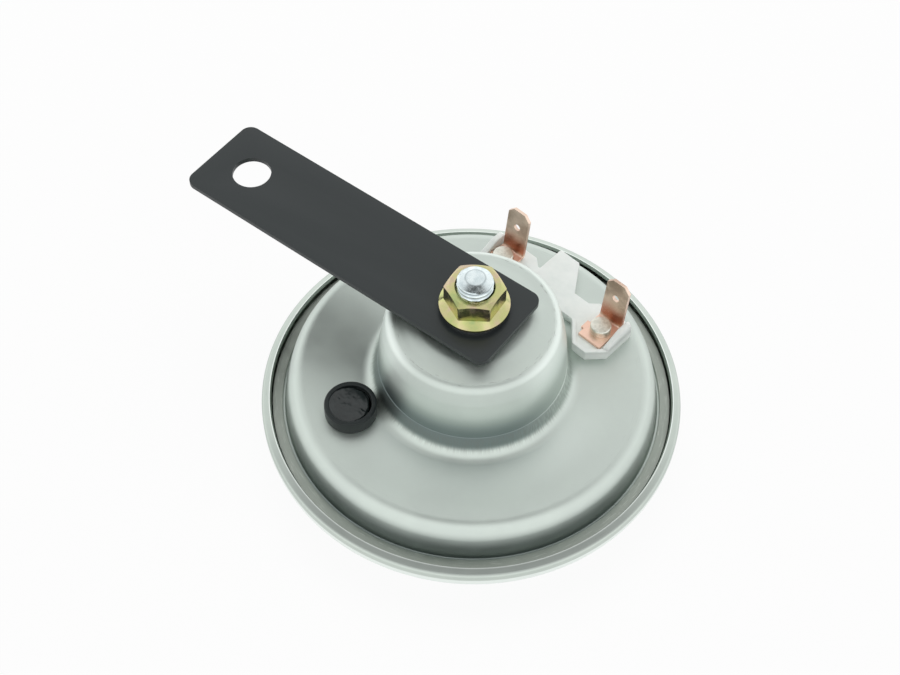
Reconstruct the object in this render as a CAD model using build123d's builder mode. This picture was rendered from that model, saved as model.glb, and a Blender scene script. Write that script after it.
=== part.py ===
"""Electromagnetic disc horn with a pressed steel housing, tone disc and mounting strap.

Millimetres. The horn's axis is Z, with its rear side and mounting stud up and its front down.
The origin is on the axis, in the plane that the tone disc's front ridge rests on, and the
mounting strap reaches out along -X.
"""
import os
from math import atan2, cos, degrees, hypot, radians, sin, sqrt

from build123d import *

os.makedirs("parts", exist_ok=True)

# Sheet thicknesses
housing_sheet = 1.0
tone_sheet = 0.9
crimp_sheet = 0.6
diaphragm_sheet = 0.5
gasket_sheet = 0.5
strap_sheet = 1.2

# Coil and core
core_r = 7.5
core_length = 12.2
core_chamfer = 0.5
bobbin_bore_clearance = 0.2
bobbin_wall = 1.0
bobbin_flange = 1.0
winding_depth = 6.9
winding_margin = 0.4
winding_height = 18.3
bobbin_foot_margin = 2.4

# Pressed housing, outside: how far each corner of its section stands from the one before
pan_height = 9.5
pad_rise = 0.5
pad_inset = 3.5
crown_margin = 4.0
crease_spread = 1.35
crease_rise = 5.0
root_spread = 0.25
plateau_width = 20.75
pan_draft = 1.15
flange_width = 2.2
crown_fillet = 4.0
root_fillet = 2.0
shoulder_fillet = 2.2
pad_slope = 2.0

# Tone disc: its front face, from the stem to the rim that is turned back round the crimp ring
tone_hub_z = 6.0
tone_step_z = 3.0
tone_hub_margin = 0.5
tone_step_run = 6.0
tone_web_width = 7.0
ridge_run = 6.5
ridge_width = 7.0
bowl_rise = 3.4
bowl_inset = 3.9
rim_overhang = 3.3
rim_rise = 1.6
lip_height = 3.4
lip_overhang = 0.8
ridge_fillet = 2.5
bowl_fillet = 4.0
rim_fillet = 3.0

# Clamped edge of the diaphragm
crimp_gap = 0.1
crimp_lap = 3.1
crimp_rear_lap = 1.6
diaphragm_flat_r = 20.0
corrugation_width = 5.0
corrugation_rise = 0.9
corrugation_flank = 1.5

# Stem, armature and core
stem_r = 3.0
stem_chamfer = 0.6
stem_clearance = 0.1
hub_washer_r = 9.0
hub_washer_sheet = 1.0
armature_r = 7.3
armature_gap = 0.7
armature_chamfer = 0.4
actuator_r = 10.5
actuator_rise = 3.5
actuator_height = 1.2
stud_r = 4.0
stud_length = 14.8
stud_chamfer = 0.6
stud_clearance = 0.2
spring_washer_r = 5.6
spring_washer_height = 1.4
spring_washer_cut = 1.2
spring_washer_turn = 20.0
front_nut_flats = 10.0
front_nut_height = 3.4

# Strap, spacer, lock washer and flange nut
strap_width = 22.5
strap_reach = 74.9
strap_tail = 10.5
strap_corner = 2.6
strap_edge = 0.25
strap_hole_r = 4.5
strap_hole_pitch = 64.2
spacer_r = 8.0
spacer_height = 2.0
spacer_edge = 0.25
lock_washer_r = 7.1
lock_washer_height = 1.4
lock_washer_cut = 1.4
lock_washer_turn = 215.0
nut_flats = 12.0
nut_turn = 34.8
nut_flange_r = 7.8
nut_flange_edge = 0.6
nut_flange_height = 1.5
nut_height = 5.8
nut_top_chamfer = 0.9
nut_top_inset = 0.4
nut_bore_chamfer = 0.4

# Yoke plate
yoke_sheet = 2.0
yoke_clearance = 0.9
yoke_margin = 0.1

# Terminals
block_azimuth = 83.8
block_offset = 5.7
terminal_spacing = 30.5
block_height = 2.2
tray_rim = 0.8
tray_wall = 0.9
pad_inner = 7.3
pad_outer = 6.4
pad_side = 5.2
pad_middle = 7.3
pad_corner = 3.6
pad_neck = 5.0
pad_shoulder = 2.0
strip_inner = 1.6
strip_outer = 4.6
boss_clearance = 0.25
cover_reach = 12.3
cover_near = 1.5
cover_far = 7.4
cover_slant = 5.1
cover_overlap = 0.5
fence_sheet = 1.3
fence_height = 3.9
fence_reach = 1.2
fence_round = 1.0
blade_width = 6.3
blade_sheet = 0.8
blade_height = 13.0
blade_chamfer = 1.5
blade_hole_r = 0.9
blade_hole_drop = 4.5
blade_fold = 3.8
blade_fold_r = 0.5
blade_leans = {"left": 7.0, "right": 6.0}
base_tail = 4.1
lug_length = 2.0
lug_width = 2.4
lug_shift = 1.05
lug_side = 2.9
rivet_head_r = 2.35
rivet_head_height = 2.5
rivet_shank_r = 1.5
rivet_foot_r = 2.4
rivet_foot_height = 0.8
rivet_edge = 0.25
spigot_r = 2.6
spigot_clearance = 0.1
insulator_sheet = 1.2
insulator_width = 9.0
insulator_corner = 3.0
insulator_shift = 1.5
insulator_clearance = 0.3
tag_sheet = 0.6
tag_width = 6.0
tag_inner = 2.6
tag_outer = 5.6
tag_corner = 1.5
tag_lead_reach = 4.1

# Adjusting screw and its cap
adjuster_azimuth = -120.1
adjuster_offset = 8.1
screw_r = 2.5
screw_clearance = 0.05
screw_slot = 0.8
screw_slot_depth = 1.2
screw_tip_chamfer = 0.8
screw_head_chamfer = 0.3
pad_height = 0.8
screw_pad_r = 2.2
bush_r = 3.6
bush_flange_r = 4.6
bush_flange_height = 0.8
bush_depth = 2.4
cap_r = 5.95
cap_height = 3.6
cap_wall = 1.15
cap_recess = 1.1
cap_edge = 0.4
sealant_height = 0.6

# Contact breaker
post_offset = 6.5
post_r = 1.5
bracket_depth = 1.5
stack_half = 2.35
breaker_width = 7.5
spring_width = 5.6
strip_width = 6.6
spring_sheet = 0.3
upper_insulator = 1.5
spacer_insulator = 1.6
strip_sheet = 0.8
lower_insulator = 0.5
clamp_sheet = 0.8
post_foot_r = 2.3
post_foot_height = 0.7
spring_eye_wall = 1.5
spring_eye_clearance = 0.6
contact_offset = 8.0
contact_r = 1.8
strip_overlap = 3.5
pusher_inset = 0.9
pusher_r = 1.3
pusher_lap = 1.4
pusher_gap = 0.3

# Inner leads
lead_r = 0.5
lead_bend = 1.6
lead_drop = 1.9
lead_clearance = 0.1
lead_hole_clearance = 0.3
lead_start_depth = 5.3
tab_side = 5.2
tab_width = 3.0
tab_overhang = 1.3

# Radii that follow from the sizes above
stem_hole_r = stem_r + stem_clearance
stud_hole_r = stud_r + stud_clearance
bobbin_bore_r = core_r + bobbin_bore_clearance
bobbin_tube_r = bobbin_bore_r + bobbin_wall
winding_r = bobbin_tube_r + winding_depth
bobbin_top_r = winding_r + winding_margin
bobbin_bottom_r = bobbin_top_r + bobbin_foot_margin
pad_r = bobbin_top_r - pad_inset
crown_r = bobbin_top_r + crown_margin
crease_r = crown_r + crease_spread
root_r = crease_r + root_spread
shoulder_r = root_r + plateau_width
foot_r = shoulder_r + pan_draft
flange_r = foot_r + flange_width
crimp_r = flange_r + crimp_gap + crimp_sheet
crimp_front_r = flange_r - crimp_lap
crimp_rear_r = flange_r - crimp_rear_lap
rim_r = crimp_r + rim_overhang
lip_r = crimp_r + lip_overhang
bowl_r = rim_r - bowl_inset
tone_hub_r = hub_washer_r + tone_hub_margin
tone_step_r = tone_hub_r + tone_step_run
tone_web_r = tone_step_r + tone_web_width
ridge_inner_r = tone_web_r + ridge_run
ridge_outer_r = ridge_inner_r + ridge_width
block_radius = root_r + block_offset
adjuster_radius = root_r + adjuster_offset
yoke_r = adjuster_radius - bush_r - yoke_margin
post_radius = adjuster_radius + post_offset
stack_inner = post_radius - stack_half
stack_outer = post_radius + stack_half
contact_radius = actuator_r + contact_offset
strip_tip = contact_radius - strip_overlap
pusher_radius = actuator_r - pusher_inset
spring_tip = pusher_radius - pusher_lap
spring_eye_hole = screw_r + spring_eye_clearance
spring_eye_r = spring_eye_hole + spring_eye_wall
lead_start_radius = bobbin_tube_r + lead_start_depth
lead_hole_r = lead_r + lead_hole_clearance

# Levels that follow from the sizes above
crimp_front_z = tone_hub_z + tone_sheet + hub_washer_sheet - crimp_sheet
diaphragm_z = crimp_front_z + crimp_sheet
gasket_z = diaphragm_z + diaphragm_sheet
flange_z = gasket_z + gasket_sheet
flange_top = flange_z + housing_sheet
crimp_top = flange_top + crimp_sheet
plateau_z = flange_top + pan_height
rim_z = crimp_front_z + rim_rise
lip_z = rim_z + lip_height
ceiling_z = plateau_z - housing_sheet
boss_z = ceiling_z + 2 * bobbin_flange + winding_height + housing_sheet
pad_z = boss_z + pad_rise
strap_z = pad_z + spacer_height
boss_ceiling_z = boss_z - housing_sheet
pad_ceiling_z = pad_z - housing_sheet
yoke_z = ceiling_z - yoke_sheet
core_z = pad_ceiling_z - core_length
armature_seat_z = gasket_z + hub_washer_sheet
actuator_z = armature_seat_z + actuator_rise
armature_top = core_z - armature_gap
strap_top = strap_z + strap_sheet
nut_z = strap_top + lock_washer_height
nut_top = nut_z + nut_height
block_top = plateau_z + block_height
base_top = block_top + blade_sheet
insulator_z = ceiling_z - insulator_sheet
tag_z = insulator_z - tag_sheet
bracket_z = ceiling_z - bracket_depth
spring_z = bracket_z - upper_insulator - spring_sheet
strip_z = spring_z - spacer_insulator - strip_sheet
lower_insulator_z = strip_z - lower_insulator
clamp_z = lower_insulator_z - clamp_sheet
strip_top = strip_z + strip_sheet
lead_level = strip_z - lead_clearance
lead_return_level = strip_z - lead_drop
contact_height = (spring_z - strip_top) / 2
screw_z = strip_top + pad_height
sealant_z = plateau_z + cap_height - cap_recess


def offset_points(points, distance):
    """Points of the line that runs beside a chain of straight runs, to its left."""
    normals = []
    for (ax, ay), (bx, by) in zip(points, points[1:]):
        length = hypot(bx - ax, by - ay)
        normals.append((-(by - ay) / length, (bx - ax) / length))
    beside = [(points[0][0] + normals[0][0] * distance, points[0][1] + normals[0][1] * distance)]
    for (x, y), (px, py), (qx, qy) in zip(points[1:-1], normals, normals[1:]):
        scale = distance / (1 + px * qx + py * qy)
        beside.append((x + (px + qx) * scale, y + (py + qy) * scale))
    x, y = points[-1]
    beside.append((x + normals[-1][0] * distance, y + normals[-1][1] * distance))
    return beside


def bend_radii(points, radii, distance):
    """Radii of the same bends on the line beside, so that both faces stay concentric."""
    beside = []
    for a, b, c, radius in zip(points, points[1:], points[2:], radii):
        turn = (b[0] - a[0]) * (c[1] - b[1]) - (b[1] - a[1]) * (c[0] - b[0])
        beside.append(0 if radius == 0 else max(radius - distance if turn > 0 else radius + distance, 0))
    return beside


def sheet_outline(points, radii, thickness):
    """Closed outline of a bent sheet, in the open line context, with thickness to the left."""
    beside = offset_points(points, thickness)
    FilletPolyline(*points, radius=radii)
    FilletPolyline(*beside, radius=bend_radii(points, radii, thickness))
    Line(points[0], beside[0])
    Line(points[-1], beside[-1])


def polar(radius, azimuth):
    """Point in the plan view, from its distance to the axis and its azimuth in degrees."""
    return radius * cos(radians(azimuth)), radius * sin(radians(azimuth))


def turned_plane(z, azimuth, radius=0.0, side=0.0):
    """Level plane at height z whose x axis points outwards at an azimuth."""
    x, y = polar(radius, azimuth)
    across = polar(side, azimuth + 90)
    return Plane(origin=(x + across[0], y + across[1], z), x_dir=(*polar(1, azimuth), 0), z_dir=(0, 0, 1))


def tag_point(side):
    """Plan position on a terminal's inner tag where its lead is soldered."""
    x, y = polar(block_radius + tag_lead_reach, block_azimuth)
    across = polar(terminal_sides[side], block_azimuth + 90)
    return x + across[0], y + across[1]


def stack_point(radius, side):
    """Plan position in the contact breaker's frame."""
    x, y = polar(radius, adjuster_azimuth)
    across = polar(side, adjuster_azimuth + 90)
    return x + across[0], y + across[1]


terminal_sides = {"left": terminal_spacing / 2, "right": -terminal_spacing / 2}
feed_azimuth = degrees(atan2(tag_point("right")[1], tag_point("right")[0]))
lead_starts = {
    "feed": polar(lead_start_radius, feed_azimuth),
    "spring": stack_point(lead_start_radius, tab_side),
}

# Rear housing: one deep-drawn steel pressing, a shallow pan with a tall boss for the coil
housing_points = [
    (stud_hole_r, pad_z),
    (pad_r, pad_z),
    (pad_r + pad_slope, boss_z),
    (crown_r, boss_z),
    (crease_r, plateau_z + crease_rise),
    (root_r, plateau_z),
    (shoulder_r, plateau_z),
    (foot_r, flange_top),
    (flange_r, flange_top),
]
housing_radii = [0, 0, crown_fillet, 0, root_fillet, shoulder_fillet, 0]

with BuildPart() as rear_housing:
    with BuildSketch(Plane.XZ):
        with BuildLine():
            sheet_outline(housing_points[::-1], housing_radii[::-1], housing_sheet)
        make_face()
    revolve(axis=Axis.Z)
    for side in terminal_sides.values():
        with BuildSketch(turned_plane(ceiling_z, block_azimuth, block_radius, side)):
            Circle(spigot_r + spigot_clearance)
        extrude(amount=housing_sheet, mode=Mode.SUBTRACT)
    with BuildSketch(turned_plane(ceiling_z, adjuster_azimuth, adjuster_radius)):
        Circle(bush_r)
    extrude(amount=housing_sheet, mode=Mode.SUBTRACT)
rear_housing.part.label = "rear_housing"
export_step(rear_housing.part, "parts/rear_housing.step")

# Pole core: soft iron core and threaded stud, turned as one piece
with BuildPart() as pole_core:
    with BuildSketch(Plane.XY.offset(core_z)):
        Circle(core_r)
    extrude(amount=core_length)
    with BuildSketch(Plane.XY.offset(pad_ceiling_z)):
        Circle(stud_r)
    extrude(amount=stud_length)
    chamfer(pole_core.faces().sort_by(Axis.Z)[-1].edges(), stud_chamfer)
    chamfer(pole_core.faces().sort_by(Axis.Z)[0].edges(), core_chamfer)
pole_core.part.label = "pole_core"
export_step(pole_core.part, "parts/pole_core.step")

# Spacer between the boss and the strap
with BuildPart() as stud_spacer:
    with BuildSketch(Plane.XY.offset(pad_z)):
        Circle(spacer_r)
        Circle(stud_hole_r, mode=Mode.SUBTRACT)
    extrude(amount=strap_z - pad_z)
    chamfer(stud_spacer.edges().filter_by(GeomType.CIRCLE).group_by(SortBy.LENGTH)[-1], spacer_edge)
stud_spacer.part.label = "stud_spacer"
export_step(stud_spacer.part, "parts/stud_spacer.step")

# Mounting strap: flat steel with rounded corners, a stud hole and a mounting hole
with BuildPart() as mounting_strap:
    with BuildSketch(Plane.XY.offset(strap_z)):
        with Locations(((strap_tail - strap_reach) / 2, 0)):
            RectangleRounded(strap_reach + strap_tail, strap_width, strap_corner)
        Circle(stud_hole_r, mode=Mode.SUBTRACT)
        with Locations((-strap_hole_pitch, 0)):
            Circle(strap_hole_r, mode=Mode.SUBTRACT)
    extrude(amount=strap_sheet)
    rims = mounting_strap.faces().filter_by(Axis.Z).sort_by(Axis.Z)
    chamfer(rims[-1].outer_wire().edges() + rims[0].outer_wire().edges(), strap_edge)
mounting_strap.part.label = "mounting_strap"
export_step(mounting_strap.part, "parts/mounting_strap.step")

# Lock washer: split steel ring between the strap and the nut
with BuildPart() as lock_washer:
    with BuildSketch(turned_plane(strap_top, lock_washer_turn)):
        Circle(lock_washer_r)
        Circle(stud_hole_r, mode=Mode.SUBTRACT)
        with Locations(((lock_washer_r + stud_hole_r) / 2, 0)):
            Rectangle(lock_washer_r, lock_washer_cut, mode=Mode.SUBTRACT)
    extrude(amount=lock_washer_height)
lock_washer.part.label = "lock_washer"
export_step(lock_washer.part, "parts/lock_washer.step")

# Flange nut: hexagon on a conical flange, chamfered on its top corners
with BuildPart() as flange_nut:
    with BuildSketch(Plane.XY.offset(nut_z)):
        RegularPolygon(nut_flats / 2, 6, major_radius=False, rotation=nut_turn)
    extrude(amount=nut_height)
    with BuildSketch(Plane.XZ) as nut_turning:
        with BuildLine():
            Polyline(
                (0, nut_z),
                (nut_flange_r, nut_z),
                (nut_flange_r, nut_top - nut_top_chamfer),
                (nut_flats / 2 - nut_top_inset, nut_top),
                (0, nut_top),
                close=True,
            )
        make_face()
    revolve(axis=Axis.Z, mode=Mode.INTERSECT)
    with BuildSketch(Plane.XZ):
        with BuildLine():
            Polyline(
                (0, nut_z),
                (nut_flange_r, nut_z),
                (nut_flange_r, nut_z + nut_flange_edge),
                (nut_flats / 2, nut_z + nut_flange_height),
                (0, nut_z + nut_flange_height),
                close=True,
            )
        make_face()
    revolve(axis=Axis.Z)
    with BuildSketch(Plane.XY.offset(nut_z)):
        Circle(stud_r)
    extrude(amount=nut_height, mode=Mode.SUBTRACT)
    bore_edges = flange_nut.edges().filter_by(GeomType.CIRCLE).group_by(SortBy.RADIUS)[0]
    chamfer(bore_edges.sort_by(Axis.Z)[-1], nut_bore_chamfer)
flange_nut.part.label = "flange_nut"
export_step(flange_nut.part, "parts/flange_nut.step")

# Coil bobbin: moulded spool, its top flange under the boss and its bottom flange on the yoke plate
with BuildPart() as coil_bobbin:
    with BuildSketch(Plane.XZ):
        with BuildLine():
            Polyline(
                (bobbin_bore_r, ceiling_z),
                (bobbin_bottom_r, ceiling_z),
                (bobbin_bottom_r, ceiling_z + bobbin_flange),
                (bobbin_tube_r, ceiling_z + bobbin_flange),
                (bobbin_tube_r, boss_ceiling_z - bobbin_flange),
                (bobbin_top_r, boss_ceiling_z - bobbin_flange),
                (bobbin_top_r, boss_ceiling_z),
                (bobbin_bore_r, boss_ceiling_z),
                close=True,
            )
        make_face()
    revolve(axis=Axis.Z)
    with BuildSketch(Plane.XY.offset(ceiling_z)):
        with Locations(*lead_starts.values()):
            Circle(lead_hole_r)
    extrude(amount=bobbin_flange, mode=Mode.SUBTRACT)
coil_bobbin.part.label = "coil_bobbin"
export_step(coil_bobbin.part, "parts/coil_bobbin.step")

# Coil winding: enamelled wire wound full between the flanges
with BuildPart() as coil_winding:
    with BuildSketch(Plane.XY.offset(ceiling_z + bobbin_flange)):
        Circle(winding_r)
        Circle(bobbin_tube_r, mode=Mode.SUBTRACT)
    extrude(amount=winding_height)
coil_winding.part.label = "coil_winding"
export_step(coil_winding.part, "parts/coil_winding.step")

# Yoke plate: closes the magnetic circuit across the mouth of the boss
with BuildPart() as yoke_plate:
    with BuildSketch(Plane.XY.offset(yoke_z)):
        Circle(yoke_r)
        Circle(armature_r + yoke_clearance, mode=Mode.SUBTRACT)
        with Locations(*lead_starts.values()):
            Circle(lead_hole_r, mode=Mode.SUBTRACT)
    extrude(amount=yoke_sheet)
yoke_plate.part.label = "yoke_plate"
export_step(yoke_plate.part, "parts/yoke_plate.step")

# Armature: turned with its threaded stem and the flange that opens the contacts
with BuildPart() as armature:
    with BuildSketch(Plane.XZ):
        with BuildLine():
            Polyline(
                (0, 0),
                (stem_r - stem_chamfer, 0),
                (stem_r, stem_chamfer),
                (stem_r, armature_seat_z),
                (armature_r, armature_seat_z),
                (armature_r, actuator_z),
                (actuator_r, actuator_z),
                (actuator_r, actuator_z + actuator_height),
                (armature_r, actuator_z + actuator_height),
                (armature_r, armature_top - armature_chamfer),
                (armature_r - armature_chamfer, armature_top),
                (0, armature_top),
                close=True,
            )
        make_face()
    revolve(axis=Axis.Z)
armature.part.label = "armature"
export_step(armature.part, "parts/armature.step")

# Diaphragm: spring steel with two pressed corrugations, clamped at its edge
corrugation_starts = [diaphragm_flat_r, diaphragm_flat_r + 2 * corrugation_width]
diaphragm_points = [(stem_hole_r, diaphragm_z)]
for start in corrugation_starts:
    diaphragm_points += [
        (start, diaphragm_z),
        (start + corrugation_flank, diaphragm_z + corrugation_rise),
        (start + corrugation_width - corrugation_flank, diaphragm_z + corrugation_rise),
        (start + corrugation_width, diaphragm_z),
    ]
diaphragm_points.append((flange_r, diaphragm_z))
with BuildPart() as diaphragm:
    with BuildSketch(Plane.XZ):
        with BuildLine():
            sheet_outline(diaphragm_points, [0] * (len(diaphragm_points) - 2), diaphragm_sheet)
        make_face()
    revolve(axis=Axis.Z)
diaphragm.part.label = "diaphragm"
export_step(diaphragm.part, "parts/diaphragm.step")

# Gasket: paper ring between the diaphragm and the housing flange
with BuildPart() as gasket:
    with BuildSketch(Plane.XY.offset(gasket_z)):
        Circle(flange_r)
        Circle(crimp_front_r, mode=Mode.SUBTRACT)
    extrude(amount=gasket_sheet)
gasket.part.label = "gasket"
export_step(gasket.part, "parts/gasket.step")

# Crimp ring: folded round the flange, the gasket and the diaphragm
with BuildPart() as crimp_ring:
    with BuildSketch(Plane.XZ):
        with BuildLine():
            Polyline(
                (crimp_front_r, crimp_front_z),
                (crimp_r, crimp_front_z),
                (crimp_r, crimp_top),
                (crimp_rear_r, crimp_top),
                (crimp_rear_r, flange_top),
                (crimp_r - crimp_sheet, flange_top),
                (crimp_r - crimp_sheet, diaphragm_z),
                (crimp_front_r, diaphragm_z),
                close=True,
            )
        crimp_face = make_face()
        chamfer(crimp_face.vertices().group_by(Axis.X)[-1], crimp_sheet / 2)
    revolve(axis=Axis.Z)
crimp_ring.part.label = "crimp_ring"
export_step(crimp_ring.part, "parts/crimp_ring.step")

# Hub washers: stiffen the middle of the diaphragm on both faces
hub_washer_levels = {"hub_washer_rear": gasket_z, "hub_washer_front": diaphragm_z - hub_washer_sheet}
for name, level in hub_washer_levels.items():
    with BuildPart() as hub_washer:
        with BuildSketch(Plane.XY.offset(level)):
            Circle(hub_washer_r)
            Circle(stem_hole_r, mode=Mode.SUBTRACT)
        extrude(amount=hub_washer_sheet)
    hub_washer.part.label = name
    export_step(hub_washer.part, f"parts/{name}.step")

# Tone disc: pressed dish on the armature's stem, with its lip turned back round the crimp ring
tone_points = [
    (stem_hole_r, tone_hub_z),
    (tone_hub_r, tone_hub_z),
    (tone_step_r, tone_step_z),
    (tone_web_r, tone_step_z),
    (ridge_inner_r, 0),
    (ridge_outer_r, 0),
    (bowl_r, bowl_rise),
    (rim_r, rim_z),
    (lip_r, lip_z),
]
tone_radii = [0, 0, 0, 0, ridge_fillet, bowl_fillet, rim_fillet]
with BuildPart() as tone_disc:
    with BuildSketch(Plane.XZ):
        with BuildLine():
            sheet_outline(tone_points, tone_radii, tone_sheet)
        make_face()
    revolve(axis=Axis.Z)
tone_disc.part.label = "tone_disc"
export_step(tone_disc.part, "parts/tone_disc.step")

# Spring washer: split ring under the front nut
with BuildPart() as spring_washer:
    with BuildSketch(turned_plane(tone_hub_z - spring_washer_height, spring_washer_turn)):
        Circle(spring_washer_r)
        Circle(stem_hole_r, mode=Mode.SUBTRACT)
        with Locations((spring_washer_r / 2 + stem_hole_r / 2, 0)):
            Rectangle(spring_washer_r, spring_washer_cut, mode=Mode.SUBTRACT)
    extrude(amount=spring_washer_height)
spring_washer.part.label = "spring_washer"
export_step(spring_washer.part, "parts/spring_washer.step")

# Front nut: thin hexagon nut that holds the tone disc
front_nut_z = tone_hub_z - spring_washer_height - front_nut_height
with BuildPart() as front_nut:
    with BuildSketch(Plane.XY.offset(front_nut_z)):
        RegularPolygon(front_nut_flats / 2, 6, major_radius=False)
    extrude(amount=front_nut_height)
    with BuildSketch(Plane.XZ):
        with BuildLine():
            Polyline(
                (0, front_nut_z),
                (front_nut_flats / 2, front_nut_z),
                (front_nut_flats, front_nut_z + front_nut_flats / 4),
                (front_nut_flats, front_nut_z + front_nut_height),
                (0, front_nut_z + front_nut_height),
                close=True,
            )
        make_face()
    revolve(axis=Axis.Z, mode=Mode.INTERSECT)
    with BuildSketch(Plane.XY.offset(front_nut_z)):
        Circle(stem_r)
    extrude(amount=front_nut_height, mode=Mode.SUBTRACT)
front_nut.part.label = "front_nut"
export_step(front_nut.part, "parts/front_nut.step")

# Terminal block: moulded insulator with a tray round each terminal and a cover tab between them
half_spacing = terminal_spacing / 2
block_plane = turned_plane(plateau_z, block_azimuth, block_radius)
corner_share = 2 - sqrt(2)


def tray_outline(sign, inset):
    """Corners of the tray round one terminal, or of its pocket at an inset from the outer sides."""
    end = half_spacing + pad_side - inset
    inner = pad_inner - inset
    outer = pad_outer - inset
    corner = pad_corner - inset * corner_share
    start = half_spacing - pad_middle
    return [
        (-inner, sign * (start + pad_neck)),
        (-inner, sign * (end - corner)),
        (-inner + corner, sign * end),
        (outer - corner, sign * end),
        (outer, sign * (end - corner)),
        (outer, sign * (start + pad_shoulder)),
        (strip_outer, sign * start),
        (-strip_inner, sign * start),
    ]


with BuildPart() as terminal_block:
    with BuildSketch(block_plane):
        for sign in (1, -1):
            with BuildLine():
                Polyline(*tray_outline(sign, 0), close=True)
            make_face()
    extrude(amount=block_height + tray_rim)
    with BuildSketch(block_plane.offset(block_height)):
        for sign in (1, -1):
            with BuildLine():
                Polyline(*tray_outline(sign, tray_wall), close=True)
            make_face()
    extrude(amount=tray_rim, mode=Mode.SUBTRACT)
    with BuildSketch(block_plane):
        with Locations(((strip_outer - strip_inner) / 2, 0)):
            Rectangle(strip_outer + strip_inner, terminal_spacing - pad_middle)
        with BuildLine():
            Polyline(
                (strip_outer - cover_overlap, cover_far),
                (cover_reach, cover_far),
                (cover_reach, cover_near),
                (strip_outer - cover_overlap, cover_near - cover_slant),
                close=True,
            )
        make_face()
    extrude(amount=block_height)
    for sign in (1, -1):
        fence_y = sign * (half_spacing + pad_side - fence_sheet)
        with BuildSketch(Plane(block_plane.from_local_coords(Vector(0, fence_y, block_height)),
                               x_dir=block_plane.x_dir, z_dir=block_plane.y_dir * sign)):
            with BuildLine():
                Polyline(
                    (-pad_inner + pad_corner, 0),
                    (pad_outer - pad_corner, 0),
                    (pad_outer - pad_corner + fence_reach, -sign * (fence_height - fence_round)),
                    (pad_outer - pad_corner + fence_reach - fence_round, -sign * fence_height),
                    (-pad_inner + pad_corner + fence_round, -sign * fence_height),
                    (-pad_inner + pad_corner, -sign * (fence_height - fence_round)),
                    close=True,
                )
            make_face()
        extrude(amount=fence_sheet)
    with BuildSketch(Plane.XY.offset(plateau_z)):
        Circle(root_r + root_fillet + boss_clearance)
    extrude(amount=fence_height + block_height, mode=Mode.SUBTRACT)
    with BuildSketch(block_plane.offset(-housing_sheet)):
        with Locations((0, half_spacing), (0, -half_spacing)):
            Circle(spigot_r)
    extrude(amount=housing_sheet)
    with BuildSketch(block_plane.offset(-housing_sheet)):
        with Locations((0, half_spacing), (0, -half_spacing)):
            Circle(rivet_shank_r)
    extrude(amount=housing_sheet + block_height, mode=Mode.SUBTRACT)
terminal_block.part.label = "terminal_block"
export_step(terminal_block.part, "parts/terminal_block.step")

# Inner insulator: fibre strip under the plateau, round both terminal rivets
with BuildPart() as inner_insulator:
    with BuildSketch(block_plane.offset(insulator_z - plateau_z)):
        with Locations((insulator_shift, 0)):
            RectangleRounded(insulator_width, terminal_spacing + insulator_width, insulator_corner)
        with Locations((0, half_spacing), (0, -half_spacing)):
            Circle(rivet_shank_r, mode=Mode.SUBTRACT)
    extrude(amount=insulator_sheet)
    with BuildSketch(Plane.XY.offset(insulator_z)):
        Circle(yoke_r + insulator_clearance)
    extrude(amount=insulator_sheet, mode=Mode.SUBTRACT)
inner_insulator.part.label = "inner_insulator"
export_step(inner_insulator.part, "parts/inner_insulator.step")

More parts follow.
